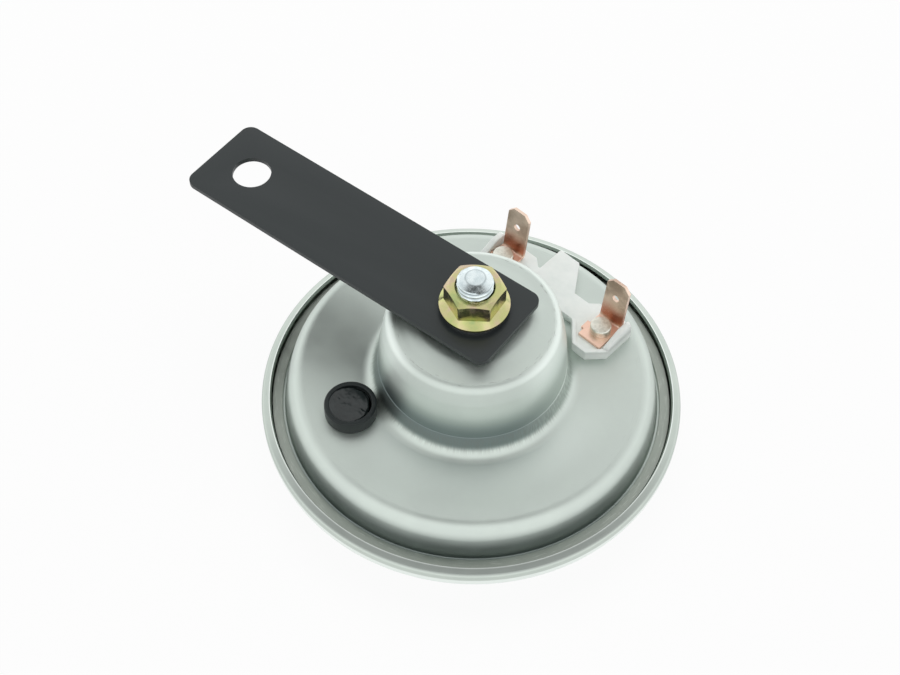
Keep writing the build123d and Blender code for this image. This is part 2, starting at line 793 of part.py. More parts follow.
# Terminals: a copper blade outside, a headed rivet and a lead tag inside, for each side
for side, offset_y in terminal_sides.items():
    lean = radians(blade_leans[side])
    seat = turned_plane(block_top, block_azimuth, block_radius, offset_y)
    section = Plane(seat.origin + seat.y_dir * (blade_width / 2), x_dir=seat.x_dir, z_dir=seat.y_dir * -1)
    tip = (blade_fold + blade_height * sin(lean), -blade_height * cos(lean))
    with BuildPart() as terminal_blade:
        with BuildSketch(section) as blade_section:
            with BuildLine():
                sheet_outline([(-base_tail, 0), (blade_fold, 0), (tip[0], -tip[1])],
                              [blade_fold_r + blade_sheet], blade_sheet)
            make_face()
        extrude(amount=blade_width)
        blade_axis = Vector(sin(lean), 0, cos(lean))
        up = seat.x_dir * blade_axis.X + seat.z_dir * blade_axis.Z
        top = terminal_blade.edges().filter_by(lambda e: abs(e.length - blade_sheet) < 0.01)
        chamfer(top.sort_by(Axis.Z)[-2:], blade_chamfer)
        hole_centre = seat.origin + seat.x_dir * blade_fold + up * (blade_height - blade_hole_drop)
        hole_plane = Plane(hole_centre, x_dir=seat.y_dir, z_dir=seat.y_dir.cross(up))
        with BuildSketch(hole_plane):
            Circle(blade_hole_r)
        extrude(amount=2 * blade_sheet, both=True, mode=Mode.SUBTRACT)
        with BuildSketch(seat):
            with Locations((-lug_shift, lug_side)):
                Rectangle(lug_width, lug_length)
        extrude(amount=blade_sheet)
        with BuildSketch(seat):
            Circle(rivet_shank_r)
        extrude(amount=blade_sheet, mode=Mode.SUBTRACT)
    terminal_blade.part.label = f"terminal_blade_{side}"
    export_step(terminal_blade.part, f"parts/terminal_blade_{side}.step")

    with BuildPart() as terminal_rivet:
        with BuildSketch(seat.offset(blade_sheet)):
            Circle(rivet_head_r)
        extrude(amount=rivet_head_height)
        chamfer(terminal_rivet.faces().sort_by(Axis.Z)[-1].edges(), rivet_edge)
        with BuildSketch(seat.offset(tag_z - block_top)):
            Circle(rivet_shank_r)
        extrude(amount=base_top - tag_z)
        with BuildSketch(seat.offset(tag_z - block_top - rivet_foot_height)):
            Circle(rivet_foot_r)
        extrude(amount=rivet_foot_height)
        chamfer(terminal_rivet.faces().sort_by(Axis.Z)[0].edges(), rivet_edge)
    terminal_rivet.part.label = f"terminal_rivet_{side}"
    export_step(terminal_rivet.part, f"parts/terminal_rivet_{side}.step")

    with BuildPart() as lead_tag:
        with BuildSketch(seat.offset(tag_z - block_top)):
            with Locations(((tag_outer - tag_inner) / 2, 0)):
                RectangleRounded(tag_outer + tag_inner, tag_width, tag_corner)
            Circle(rivet_shank_r, mode=Mode.SUBTRACT)
        extrude(amount=tag_sheet)
    lead_tag.part.label = f"lead_tag_{side}"
    export_step(lead_tag.part, f"parts/lead_tag_{side}.step")

# Adjusting screw, its threaded bush in the housing, its cap and the sealant over it
adjuster_plane = turned_plane(plateau_z, adjuster_azimuth, adjuster_radius)
with BuildPart() as adjuster_bush:
    with BuildSketch(adjuster_plane):
        Circle(bush_flange_r)
    extrude(amount=bush_flange_height)
    with BuildSketch(adjuster_plane.offset(-bush_depth)):
        Circle(bush_r)
    extrude(amount=bush_depth)
    with BuildSketch(adjuster_plane.offset(-bush_depth)):
        Circle(screw_r + screw_clearance)
    extrude(amount=bush_depth + bush_flange_height, mode=Mode.SUBTRACT)
adjuster_bush.part.label = "adjuster_bush"
export_step(adjuster_bush.part, "parts/adjuster_bush.step")

with BuildPart() as adjusting_screw:
    with BuildSketch(adjuster_plane.offset(screw_z - plateau_z)):
        Circle(screw_r)
    extrude(amount=sealant_z - screw_z)
    chamfer(adjusting_screw.faces().sort_by(Axis.Z)[0].edges(), screw_tip_chamfer)
    chamfer(adjusting_screw.faces().sort_by(Axis.Z)[-1].edges(), screw_head_chamfer)
    with BuildSketch(adjuster_plane.offset(sealant_z - plateau_z)):
        Rectangle(4 * screw_r, screw_slot)
    extrude(amount=-screw_slot_depth, mode=Mode.SUBTRACT)
adjusting_screw.part.label = "adjusting_screw"
export_step(adjusting_screw.part, "parts/adjusting_screw.step")

cap_inner_r = cap_r - cap_wall
with BuildPart() as adjuster_cap:
    with BuildSketch(adjuster_plane):
        Circle(cap_r)
    extrude(amount=cap_height)
    chamfer(adjuster_cap.faces().sort_by(Axis.Z)[-1].edges(), cap_edge)
    with BuildSketch(adjuster_plane):
        Circle(bush_flange_r)
    extrude(amount=bush_flange_height, mode=Mode.SUBTRACT)
    with BuildSketch(adjuster_plane):
        Circle(screw_r + screw_clearance)
    extrude(amount=cap_height, mode=Mode.SUBTRACT)
    with BuildSketch(adjuster_plane.offset(cap_height)):
        Circle(cap_inner_r)
    extrude(amount=-cap_recess, mode=Mode.SUBTRACT)
adjuster_cap.part.label = "adjuster_cap"
export_step(adjuster_cap.part, "parts/adjuster_cap.step")

with BuildPart() as sealant:
    with BuildSketch(adjuster_plane.offset(sealant_z - plateau_z)):
        Circle(cap_inner_r)
    extrude(amount=sealant_height)
sealant.part.label = "sealant"
export_step(sealant.part, "parts/sealant.step")


def stack_plane(z):
    """Plane of the contact breaker at a level, with x pointing outwards to the adjusting screw."""
    return turned_plane(z, adjuster_azimuth)


# Breaker stack: bracket welded under the housing, insulators and the plate below
stack_layers = {
    "breaker_bracket": (bracket_z, bracket_depth),
    "breaker_insulator_top": (spring_z + spring_sheet, upper_insulator),
    "breaker_insulator_middle": (strip_top, spacer_insulator),
    "breaker_insulator_bottom": (lower_insulator_z, lower_insulator),
    "breaker_clamp": (clamp_z, clamp_sheet),
}
for name, (level, thickness) in stack_layers.items():
    with BuildPart() as stack_layer:
        with BuildSketch(stack_plane(level)):
            with Locations(((stack_inner + stack_outer) / 2, 0)):
                Rectangle(stack_outer - stack_inner, breaker_width)
            with Locations((post_radius, 0)):
                Circle(post_r, mode=Mode.SUBTRACT)
        extrude(amount=thickness)
    stack_layer.part.label = name
    export_step(stack_layer.part, f"parts/{name}.step")

# Breaker rivet: holds the stack to the bracket
with BuildPart() as breaker_rivet:
    with BuildSketch(stack_plane(clamp_z)):
        with Locations((post_radius, 0)):
            Circle(post_r)
    extrude(amount=ceiling_z - clamp_z)
    with BuildSketch(stack_plane(clamp_z - post_foot_height)):
        with Locations((post_radius, 0)):
            Circle(post_foot_r)
    extrude(amount=post_foot_height)
breaker_rivet.part.label = "breaker_rivet"
export_step(breaker_rivet.part, "parts/breaker_rivet.step")

# Contact spring: leaf with an eye round the adjusting screw, lifted by the armature's flange
with BuildPart() as contact_spring:
    with BuildSketch(stack_plane(spring_z)):
        with Locations(((spring_tip + stack_outer) / 2, 0)):
            Rectangle(stack_outer - spring_tip, spring_width)
        with Locations((adjuster_radius, 0)):
            Circle(spring_eye_r)
            Circle(spring_eye_hole, mode=Mode.SUBTRACT)
        with Locations((post_radius, (tab_side + tab_overhang) / 2)):
            Rectangle(tab_width, tab_side + tab_overhang)
        with Locations((post_radius, 0)):
            Circle(post_r, mode=Mode.SUBTRACT)
    extrude(amount=spring_sheet)
contact_spring.part.label = "contact_spring"
export_step(contact_spring.part, "parts/contact_spring.step")

# Contact strip: stiff carrier of the fixed contact, pressed down by the adjusting screw
with BuildPart() as contact_strip:
    with BuildSketch(stack_plane(strip_z)):
        with Locations(((strip_tip + stack_outer) / 2, 0)):
            Rectangle(stack_outer - strip_tip, strip_width)
        with Locations((post_radius, -(tab_side + tab_overhang) / 2)):
            Rectangle(tab_width, tab_side + tab_overhang)
        with Locations((post_radius, 0)):
            Circle(post_r, mode=Mode.SUBTRACT)
    extrude(amount=strip_sheet)
contact_strip.part.label = "contact_strip"
export_step(contact_strip.part, "parts/contact_strip.step")

# Contacts that meet between strip and spring, the spring's pusher and the screw's insulating pad
small_parts = {
    "screw_pad": (strip_top, pad_height, adjuster_radius, screw_pad_r),
    "fixed_contact": (strip_top, contact_height, contact_radius, contact_r),
    "moving_contact": (strip_top + contact_height, contact_height, contact_radius, contact_r),
    "spring_pusher": (
        actuator_z + actuator_height + pusher_gap,
        spring_z - actuator_z - actuator_height - pusher_gap,
        pusher_radius,
        pusher_r,
    ),
}
for name, (level, height, radius, size) in small_parts.items():
    with BuildPart() as button:
        with BuildSketch(stack_plane(level)):
            with Locations((radius, 0)):
                Circle(size)
        extrude(amount=height)
    button.part.label = name
    export_step(button.part, f"parts/{name}.step")

# Leads: coil to right terminal, coil to contact spring, and contact strip to left terminal
return_start = stack_point(post_radius, -tab_side)
return_azimuth = degrees(atan2(return_start[1], return_start[0])) % 360
left_tag = tag_point("left")
left_azimuth = degrees(atan2(left_tag[1], left_tag[0]))
lead_return_radius = hypot(*left_tag)
return_steps = [return_azimuth + (left_azimuth - return_azimuth) * step for step in (0.2, 0.4, 0.6, 0.8)]
lead_routes = {
    "feed_lead": [
        (*lead_starts["feed"], ceiling_z + bobbin_flange),
        (*lead_starts["feed"], lead_level),
        (*tag_point("right"), lead_level),
        (*tag_point("right"), tag_z),
    ],
    "spring_lead": [
        (*lead_starts["spring"], ceiling_z + bobbin_flange),
        (*lead_starts["spring"], lead_level),
        (*stack_point(post_radius, tab_side), lead_level),
        (*stack_point(post_radius, tab_side), spring_z),
    ],
    "return_lead": [
        (*return_start, strip_z),
        (*return_start, lead_return_level),
        *[(*polar(lead_return_radius, azimuth), lead_return_level) for azimuth in return_steps],
        (*left_tag, lead_return_level),
        (*left_tag, tag_z),
    ],
}
for name, route in lead_routes.items():
    with BuildPart() as lead:
        with BuildLine():
            FilletPolyline(*route, radius=lead_bend)
        with BuildSketch(Plane(origin=route[0], z_dir=(0, 0, -1))):
            Circle(lead_r)
        sweep()
    lead.part.label = name
    export_step(lead.part, f"parts/{name}.step")
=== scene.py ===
from math import atan2, cos, degrees, hypot, pi, radians, sin, tan

import bmesh
import bpy
from mathutils import Matrix, Vector, noise


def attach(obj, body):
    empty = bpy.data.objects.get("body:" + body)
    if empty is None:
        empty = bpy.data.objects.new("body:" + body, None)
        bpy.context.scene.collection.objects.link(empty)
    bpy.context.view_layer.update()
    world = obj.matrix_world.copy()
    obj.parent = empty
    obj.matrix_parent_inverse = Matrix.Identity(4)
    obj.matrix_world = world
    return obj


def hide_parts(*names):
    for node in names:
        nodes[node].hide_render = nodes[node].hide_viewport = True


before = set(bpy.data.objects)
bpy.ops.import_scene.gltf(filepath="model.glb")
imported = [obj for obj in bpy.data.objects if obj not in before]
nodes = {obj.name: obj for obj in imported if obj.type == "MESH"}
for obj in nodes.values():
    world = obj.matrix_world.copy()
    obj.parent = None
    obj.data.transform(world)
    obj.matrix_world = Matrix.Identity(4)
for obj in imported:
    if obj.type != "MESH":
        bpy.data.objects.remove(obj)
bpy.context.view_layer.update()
scene = bpy.context.scene
scene.view_settings.view_transform = "Standard"
MM = 0.001

# The view: a camera above and in front of the horn, looking down on its rear side. Its lens and
# place are those that put the housing's rims, the strap and the terminals where the photo has them.
camera_data = bpy.data.cameras.new("camera")
camera_data.sensor_width = 36.0
camera_data.lens = 61.43
camera_data.clip_start = 0.01
camera = bpy.data.objects.new("camera", camera_data)
scene.collection.objects.link(camera)
camera.matrix_world = (
    Matrix.Translation((0.11415, -0.16424, 0.31074))
    @ Matrix.Rotation(radians(36.286), 4, "Z")
    @ Matrix.Rotation(radians(35.66), 4, "X")
    @ Matrix.Rotation(radians(0.9604), 4, "Z")
)
scene.camera = camera

# The studio: a pale floor that runs out to white, a white tent round the horn, and one lamp. The
# tent is open at its top, and rounded steel mirrors the opening as a dark band.


class Strand:
    """One value in a node tree, whose arithmetic adds the Math nodes that it needs."""

    prefix = "ShaderNode"
    tree = None

    def __init__(self, socket):
        self.socket = socket

    @classmethod
    def node(cls, kind, settings=None, sockets=None, output=0):
        """Adds a node of a kind, sets it, then gives or links its sockets by name or number."""
        made = cls.tree.nodes.new(kind if kind.startswith("ShaderNode") else cls.prefix + kind)
        for name, value in (settings or {}).items():
            setattr(made, name, value)
        for name, value in (sockets or {}).items():
            if isinstance(value, Strand):
                cls.tree.links.new(value.socket, made.inputs[name])
            else:
                made.inputs[name].default_value = value
        return cls(made.outputs[output])

    def maths(self, operation, other=0.0, first=True):
        """Adds a Math node on this value and another, or on the other and this one."""
        pair = (self, other) if first else (other, self)
        return self.node("ShaderNodeMath", {"operation": operation}, {0: pair[0], 1: pair[1]})

    def __add__(self, other):
        return self.maths("ADD", other)

    __radd__ = __add__

    def __mul__(self, other):
        return self.maths("MULTIPLY", other)

    __rmul__ = __mul__

    def __sub__(self, other):
        return self.maths("SUBTRACT", other)

    def __rsub__(self, other):
        return self.maths("SUBTRACT", other, first=False)

    def __truediv__(self, other):
        return self.maths("DIVIDE", other)

    def __pow__(self, other):
        return self.maths("POWER", other)


def new_material(name):
    """An empty node material, which the next strands are added to."""
    material = bpy.data.materials.new(name)
    material.use_nodes = True
    material.node_tree.nodes.clear()
    Strand.tree = material.node_tree
    return material


def parts_of(vector):
    """The three parts of a vector."""
    return [Strand.node("SeparateXYZ", sockets={"Vector": vector}, output=axis) for axis in "XYZ"]


def ramp(value, low, high):
    """Runs from 0 to 1 while a value goes from low to high, smoothly."""
    return Strand.node(
        "MapRange",
        {"interpolation_type": "SMOOTHSTEP"},
        {"Value": value, "From Min": low, "From Max": high},
    )


def ends_in(shader, kind="Material"):
    """Ends a node tree with a shader."""
    output = Strand.tree.nodes.new("ShaderNodeOutput" + kind)
    Strand.tree.links.new(shader.socket, output.inputs["Surface"])


def ray_kinds():
    """Whether a ray comes from the camera, was mirrored or was let through."""
    kinds = ("Camera", "Glossy", "Transmission")
    return [Strand.node("LightPath", output=f"Is {kind} Ray") for kind in kinds]


floor_mesh = bpy.data.meshes.new("floor")
floor_reach = 2.0
floor_drop = -0.02 * MM
floor_mesh.from_pydata(
    [(x * floor_reach, y * floor_reach, floor_drop) for x, y in ((-1, -1), (1, -1), (1, 1), (-1, 1))],
    [],
    [(0, 1, 2, 3)],
)
floor = bpy.data.objects.new("floor", floor_mesh)
scene.collection.objects.link(floor)
floor_paper = new_material("floor_paper")
from_camera, mirrored, let_through = ray_kinds()
seen = from_camera.maths("MAXIMUM", mirrored).maths("MAXIMUM", let_through)
paper = Strand.node("BsdfDiffuse", sockets={"Color": (0.86, 0.86, 0.86, 1)})
glow = Strand.node("Emission", sockets={"Color": (1, 1, 1, 1), "Strength": 1.0})
shadow_share = 0.07
ends_in(Strand.node("MixShader", sockets={0: seen * (1 - shadow_share), 1: paper, 2: glow}))
floor_mesh.materials.append(floor_paper)

world = bpy.data.worlds.new("tent")
world.use_nodes = True
world.node_tree.nodes.clear()
scene.world = world
Strand.tree = world.node_tree
from_camera, mirrored, let_through = ray_kinds()
heading = Strand.node("TexCoord", output="Generated")
camera_azimuth = -55.2
camera_side = (cos(radians(camera_azimuth)), sin(radians(camera_azimuth)), 0)
rightward = (-camera_side[1], camera_side[0], 0)
ahead, aside = (
    Strand.node("VectorMath", {"operation": "DOT_PRODUCT"}, {0: heading, 1: way}, output="Value")
    for way in (camera_side, rightward)
)
rise = parts_of(heading)[2]
from_opening = ((aside / 0.6) ** 2 + ((ahead - 0.04) / 0.26) ** 2) ** 0.5
opening = (1 - ramp(from_opening, 0.45, 1.3)) * ramp(rise, 0.4, 0.7)
front = ramp(rise, 0.45, 0.62) * (1 - ramp(rise, 0.8, 0.93)) * ramp(ahead, 0.2, 0.5)
tent = (1.35 - 0.3 * ramp(rise, 0.1, 0.6) + 0.3 * front) * (1.0 - opening * 0.9)
unmirrored_level = 0.58
level = unmirrored_level + (1 - unmirrored_level) * mirrored
sky = Strand.node("Background", sockets={"Color": (1, 1, 1, 1), "Strength": tent * level})
white = Strand.node("Background", sockets={"Color": (1, 1, 1, 1), "Strength": 1.0})
seen = from_camera.maths("MAXIMUM", let_through)
ends_in(Strand.node("MixShader", sockets={0: seen, 1: sky, 2: white}), "World")

lamp_data = bpy.data.lights.new("overhead", "AREA")
lamp_data.shape = "RECTANGLE"
lamp_data.size = 0.9
lamp_data.size_y = 0.7
lamp_data.energy = 3.2
lamp = bpy.data.objects.new("overhead", lamp_data)
scene.collection.objects.link(lamp)
lamp.location = (-0.242, 0.346, 0.795)
lamp.rotation_euler = (Vector((0, 0, 0.02)) - lamp.location).to_track_quat("-Z", "Y").to_euler()
lamp.visible_glossy = False

# Pole core: the coil's iron core and the M8 mounting stud, turned from one bar. Its thread is
# rolled and stops at the core's shoulder, and the bar is zinc plated, bright and a little blue.
thread_tree = bpy.data.node_groups.new("rolled_thread", "GeometryNodeTree")
thread_inputs = {}
for label, kind, default in (
    ("Outer Radius", "NodeSocketFloat", 0.004),
    ("Depth", "NodeSocketFloat", 0.0006),
    ("Pitch", "NodeSocketFloat", 0.00125),
    ("Length", "NodeSocketFloat", 0.015),
    ("Base Height", "NodeSocketFloat", 0.0),
    ("Chamfer", "NodeSocketFloat", 0.001),
    ("Chamfer Slope", "NodeSocketFloat", 1.0),
    ("Rings", "NodeSocketInt", 100),
    ("Finish", "NodeSocketMaterial", None),
):
    made = thread_tree.interface.new_socket(label, in_out="INPUT", socket_type=kind)
    thread_inputs[label] = made.identifier
    if default is not None:
        made.default_value = default
thread_tree.interface.new_socket("Geometry", in_out="OUTPUT", socket_type="NodeSocketGeometry")


class Build(Strand):
    """The same arithmetic, for a Geometry Nodes tree."""

    prefix = "GeometryNode"


Build.tree = thread_tree
group_input = thread_tree.nodes.new("NodeGroupInput")
given = {name: Build(group_input.outputs[name]) for name in thread_inputs}
blank = Build.node(
    "MeshCylinder",
    sockets={
        "Vertices": 96,
        "Side Segments": given["Rings"],
        "Radius": given["Outer Radius"],
        "Depth": given["Length"],
    },
)
where = Build.node("InputPosition")
x, y, z = (Build.node("ShaderNodeSeparateXYZ", sockets={"Vector": where}, output=axis) for axis in "XYZ")
turn = y.maths("ARCTAN2", x) / (2 * pi)
phase = (z / given["Pitch"] - turn).maths("FRACT")
ridge = (phase - 0.5).maths("ABSOLUTE") * 2
flank = ((ridge - 0.12) / 0.72).maths("MAXIMUM", 0.0).maths("MINIMUM", 1.0)
edge = given["Length"] / 2 - z
end_radius = given["Outer Radius"] - given["Chamfer"]
chamfered = (end_radius + edge * given["Chamfer Slope"]).maths("MINIMUM", given["Outer Radius"])
radius = (given["Outer Radius"] - given["Depth"] * flank).maths("MINIMUM", chamfered)
grown = radius / given["Outer Radius"]
lifted = z + given["Length"] / 2 + given["Base Height"]
moved = Build.node("ShaderNodeCombineXYZ", sockets={"X": x * grown, "Y": y * grown, "Z": lifted})
placed = Build.node("SetPosition", sockets={"Geometry": blank, "Position": moved})
real = Build.node("RealizeInstances", sockets={"Geometry": placed})
coated = Build.node("SetMaterial", sockets={"Geometry": real, "Material": given["Finish"]})
group_output = thread_tree.nodes.new("NodeGroupOutput")
thread_tree.links.new(coated.socket, group_output.inputs["Geometry"])


def new_object(name, mesh):
    """Links a finished mesh, at the origin and unturned."""
    made = bpy.data.objects.new(name, mesh)
    scene.collection.objects.link(made)
    return made


def grown_mesh(name, values):
    """Runs the thread's tree with its inputs, and keeps what comes out as a plain mesh."""
    seed = bpy.data.objects.new(name + "_seed", bpy.data.meshes.new(name + "_seed"))
    scene.collection.objects.link(seed)
    modifier = seed.modifiers.new("growth", "NODES")
    modifier.node_group = thread_tree
    for label, value in values.items():
        modifier[thread_inputs[label]] = value
    bpy.context.view_layer.update()
    evaluated = seed.evaluated_get(bpy.context.evaluated_depsgraph_get())
    mesh = bpy.data.meshes.new_from_object(evaluated)
    bpy.data.objects.remove(seed)
    mesh.name = name
    return mesh


def spun(name, outline, segments=256, centre=(0.0, 0.0)):
    """A closed outline of (radius, height) in mm, counter-clockwise, spun round an upright axis."""
    mesh = bmesh.new()
    rings = []
    for radius, height in outline:
        if radius < 1e-6:
            rings.append([mesh.verts.new((centre[0] * MM, centre[1] * MM, height * MM))])
            continue
        rings.append([
            mesh.verts.new((
                (centre[0] + radius * cos(2 * pi * index / segments)) * MM,
                (centre[1] + radius * sin(2 * pi * index / segments)) * MM,
                height * MM,
            ))
            for index in range(segments)
        ])
    for lower, upper in zip(rings, rings[1:] + rings[:1]):
        if len(lower) == len(upper) == 1:
            continue
        for index in range(segments):
            after = (index + 1) % segments
            if len(lower) == 1:
                mesh.faces.new((lower[0], upper[after], upper[index]))
            elif len(upper) == 1:
                mesh.faces.new((lower[index], lower[after], upper[0]))
            else:
                mesh.faces.new((lower[index], lower[after], upper[after], upper[index]))
    bmesh.ops.recalc_face_normals(mesh, faces=mesh.faces)
    data = bpy.data.meshes.new(name)
    mesh.to_mesh(data)
    mesh.free()
    smooth(data, 35)
    return data


def smooth(data, angle):
    """Shades a mesh smoothly, except across edges sharper than an angle in degrees."""
    for polygon in data.polygons:
        polygon.use_smooth = True
    mesh = bmesh.new()
    mesh.from_mesh(data)
    for edge in mesh.edges:
        edge.smooth = not (edge.is_manifold and edge.calc_face_angle(0) > radians(angle))
    mesh.to_mesh(data)
    mesh.free()


def joined(name, meshes):
    """Several closed shells that touch or pass into each other, kept as one piece."""
    mesh = bmesh.new()
    for data in meshes:
        mesh.from_mesh(data)
    result = bpy.data.meshes.new(name)
    mesh.to_mesh(result)
    mesh.free()
    return result


def finished(name, data, material, slot, *replaced):
    """Gives a piece its material and its body, and hides the CAD nodes that it replaces. Its slot is not
    used.
    """
    piece = new_object(name, data)
    data.materials.clear()
    data.materials.append(material)
    for polygon in data.polygons:
        polygon.material_index = 0
    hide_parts(*replaced)
    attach(piece, "root")
    return piece


def place():
    """The object coordinates of a point, in metres."""
    return Strand.node("TexCoord", output="Object")


def above(length, low, high):
    """Runs from 0 to 1 while a length goes from low to high, in mm."""
    return ramp(length, low * MM, high * MM)


def between(length, low, full, fading, high):
    """Is 1 where a length is between full and fading, and 0 outside low and high, in mm."""
    return above(length, low, full) * (1 - above(length, fading, high))


def grain(scale, vector=None, detail=3.0, roughness=0.55, stretch=None):
    """Noise of a size given in cells per metre, stretched along an axis if asked."""
    vector = vector or place()
    if stretch:
        vector = Strand.node("Mapping", sockets={"Vector": vector, "Scale": stretch})
    return Strand.node(
        "TexNoise",
        sockets={"Vector": vector, "Scale": scale, "Detail": detail, "Roughness": roughness},
    )


def blend(factor, first, second):
    """Mixes two colours by a factor."""
    made = Strand.tree.nodes.new("ShaderNodeMix")
    made.data_type = "RGBA"
    Strand.tree.links.new(factor.socket, made.inputs[0])
    for number, colour in ((6, first), (7, second)):
        if isinstance(colour, Strand):
            Strand.tree.links.new(colour.socket, made.inputs[number])
        else:
            made.inputs[number].default_value = (*colour, 1)
    return Strand(made.outputs[2])


def bumped(height, distance, strength=1.0, under=None):
    """A normal bumped by a height, in metres of distance."""
    sockets = {"Height": height, "Distance": distance, "Strength": strength}
    if under:
        sockets["Normal"] = under
    return Strand.node("Bump", sockets=sockets)


def surface(**sockets):
    """Ends a material with a Principled shader. Underscores stand for spaces in the names."""
    named = {name.replace("_", " "): value for name, value in sockets.items()}
    ends_in(Strand.node("BsdfPrincipled", sockets=named))


def round_place():
    """A point's coordinates and its distance from the horn's axis, in metres."""
    east, north, up = parts_of(place())
    return east, north, up, (east * east + north * north) ** 0.5


bright_zinc = new_material("bright_zinc")
px, py, pz, from_axis = round_place()
# Painted shade: the thread's grooves and a thin ring round the stud's end are darkened.
groove_painted_shade = (1 - above(from_axis, 3.4, 3.9)) * between(pz, 43.0, 44.0, 53.0, 53.2)
end_ring_painted_shade = between(from_axis, 1.9, 2.1, 2.2, 2.5) * above(pz, 53.2, 53.3)
cloud = grain(400, detail=4)
zinc_colour = blend(ramp(cloud, 0.35, 0.65), (0.6, 0.69, 0.71), (0.78, 0.86, 0.87))
zinc_colour = blend(end_ring_painted_shade * 0.35, zinc_colour, (0.12, 0.15, 0.16))
surface(
    Base_Color=blend(groove_painted_shade * 0.85, zinc_colour, (0.08, 0.1, 0.11)),
    Metallic=1.0,
    Roughness=0.17 + 0.14 * ramp(grain(1500), 0.3, 0.7),
    Normal=bumped(grain(9000, detail=2), 0.02 * MM, 0.4),
)
stud_base = 39.2
stud_top = 54.0
stud_thread = grown_mesh("pole_thread", {
    "Outer Radius": 4.0 * MM,
    "Depth": 0.62 * MM,
    "Pitch": 1.25 * MM,
    "Length": (stud_top - stud_base) * MM,
    "Base Height": stud_base * MM,
    "Chamfer": 1.9 * MM,
    "Chamfer Slope": 2.6,
    "Rings": 148,
    "Finish": bright_zinc,
})
core_turning = spun("pole_turning", [
    (0, 27.0), (7.0, 27.0), (7.5, 27.5), (7.5, 39.0), (7.3, stud_base), (0, stud_base),
], 128)
smooth(stud_thread, 40)
pole_core = joined("pole_core_turned", [core_turning, stud_thread])
finished("pole_core_turned", pole_core, bright_zinc, "stud_steel", "pole_core")

# Rear housing: one deep-drawn pressing of 1 mm steel, zinc plated. A tall boss holds the coil, and
# its foot is drawn out by the die in fine upright lines, under a crease all the way round. The lines are
# darkened, partly as their own marks and partly as painted shade. Walls near the camera are darkened with
# painted shade, and the plateau near the camera and the boss's far upper wall are lightened with painted
# highlights.
zinc_sheet = new_material("zinc_sheet")
px, py, pz, from_axis = round_place()


def hooped(squeeze):
    """A point whose way round the axis is squeezed, so that noise on it runs in hoops."""
    squeezed = py.maths("ARCTAN2", px) * squeeze
    return Strand.node("CombineXYZ", sockets={"X": squeezed, "Y": from_axis, "Z": pz})


def facing(bearing):
    """The cosine of a point's angle round the axis from a bearing in degrees."""
    return (px * cos(radians(bearing)) + py * sin(radians(bearing))) / from_axis


way_round = py.maths("ARCTAN2", px)
upright = Strand.node("CombineXYZ", sockets={"X": way_round * 0.034, "Y": from_axis * 0.04, "Z": pz * 0.2})
draw_lines = grain(2600, upright, detail=2)
hoop_marks = grain(5200, hooped(0.0015), detail=3)
speckle = grain(14000, detail=1)
patches = grain(70, detail=4)
nearest = facing(-60)
foot_band = between(pz, 19.8, 21.2, 23.8, 24.3)
on_crown = between(from_axis, 16.9, 17.4, 18.0, 18.6) * above(pz, 37.0, 37.5)
on_plateau = between(from_axis, 37.6, 38.6, 39.2, 40.4) * 0.25
scuffs = ramp(hoop_marks, 0.6, 0.7) * (on_crown + on_plateau)
# Painted shade: the boss's lower wall and the pan's outer wall are darkened on the side towards the camera.
low_wall_painted_shade = (1 - above(pz, 25.0, 33.5)) * (1 - above(from_axis, 22.2, 23.0))
low_wall_painted_shade = low_wall_painted_shade * ramp(facing(-78), -0.2, 0.75)
pan_wall_painted_shade = (1 - above(pz, 12.5, 17.8)) * above(from_axis, 41.5, 42.2) * ramp(nearest, 0.1, 0.8)
# Painted highlights: the plateau round the boss's foot is lightened towards the camera, and the boss's upper
# wall away from it.
near_plateau_painted_highlight = between(from_axis, 24.0, 26.0, 26.5, 36.0) * ramp(nearest, 0.0, 0.7)
upper_wall_painted_highlight = above(pz, 30.0, 34.5) * above(from_axis, 17.6, 18.4) * (1 - ramp(nearest, 0.5, 0.9))
zinc_colour = blend(ramp(patches, 0.35, 0.65), (0.58, 0.64, 0.6), (0.62, 0.685, 0.64))
zinc_colour = blend(low_wall_painted_shade * 0.92 + pan_wall_painted_shade * 0.6, zinc_colour, (0.16, 0.2, 0.2))
zinc_colour = blend(near_plateau_painted_highlight * 0.35 + upper_wall_painted_highlight * 0.55, zinc_colour, (0.9, 0.97, 0.93))
# The die lines at the boss's foot are darkened, partly as their own marks and partly as painted shade in the
# corner above the plateau.
zinc_colour = blend(foot_band * ramp(draw_lines, 0.3, 0.7) * 0.42, zinc_colour, (0.2, 0.21, 0.2))
zinc_colour = blend(scuffs * 0.6, zinc_colour, (0.2, 0.2, 0.19))
zinc_normal = bumped(speckle, 0.01 * MM, 0.35)
zinc_normal = bumped(draw_lines, 0.02 * MM, foot_band * 0.3, zinc_normal)
zinc_normal = bumped(hoop_marks, 0.02 * MM, 0.2, zinc_normal)
surface(
    Base_Color=zinc_colour,
    Metallic=1.0,
    Roughness=0.43 + 0.06 * ramp(patches, 0.3, 0.7) + 0.04 * ramp(speckle, 0.4, 0.6),
    Normal=zinc_normal,
)


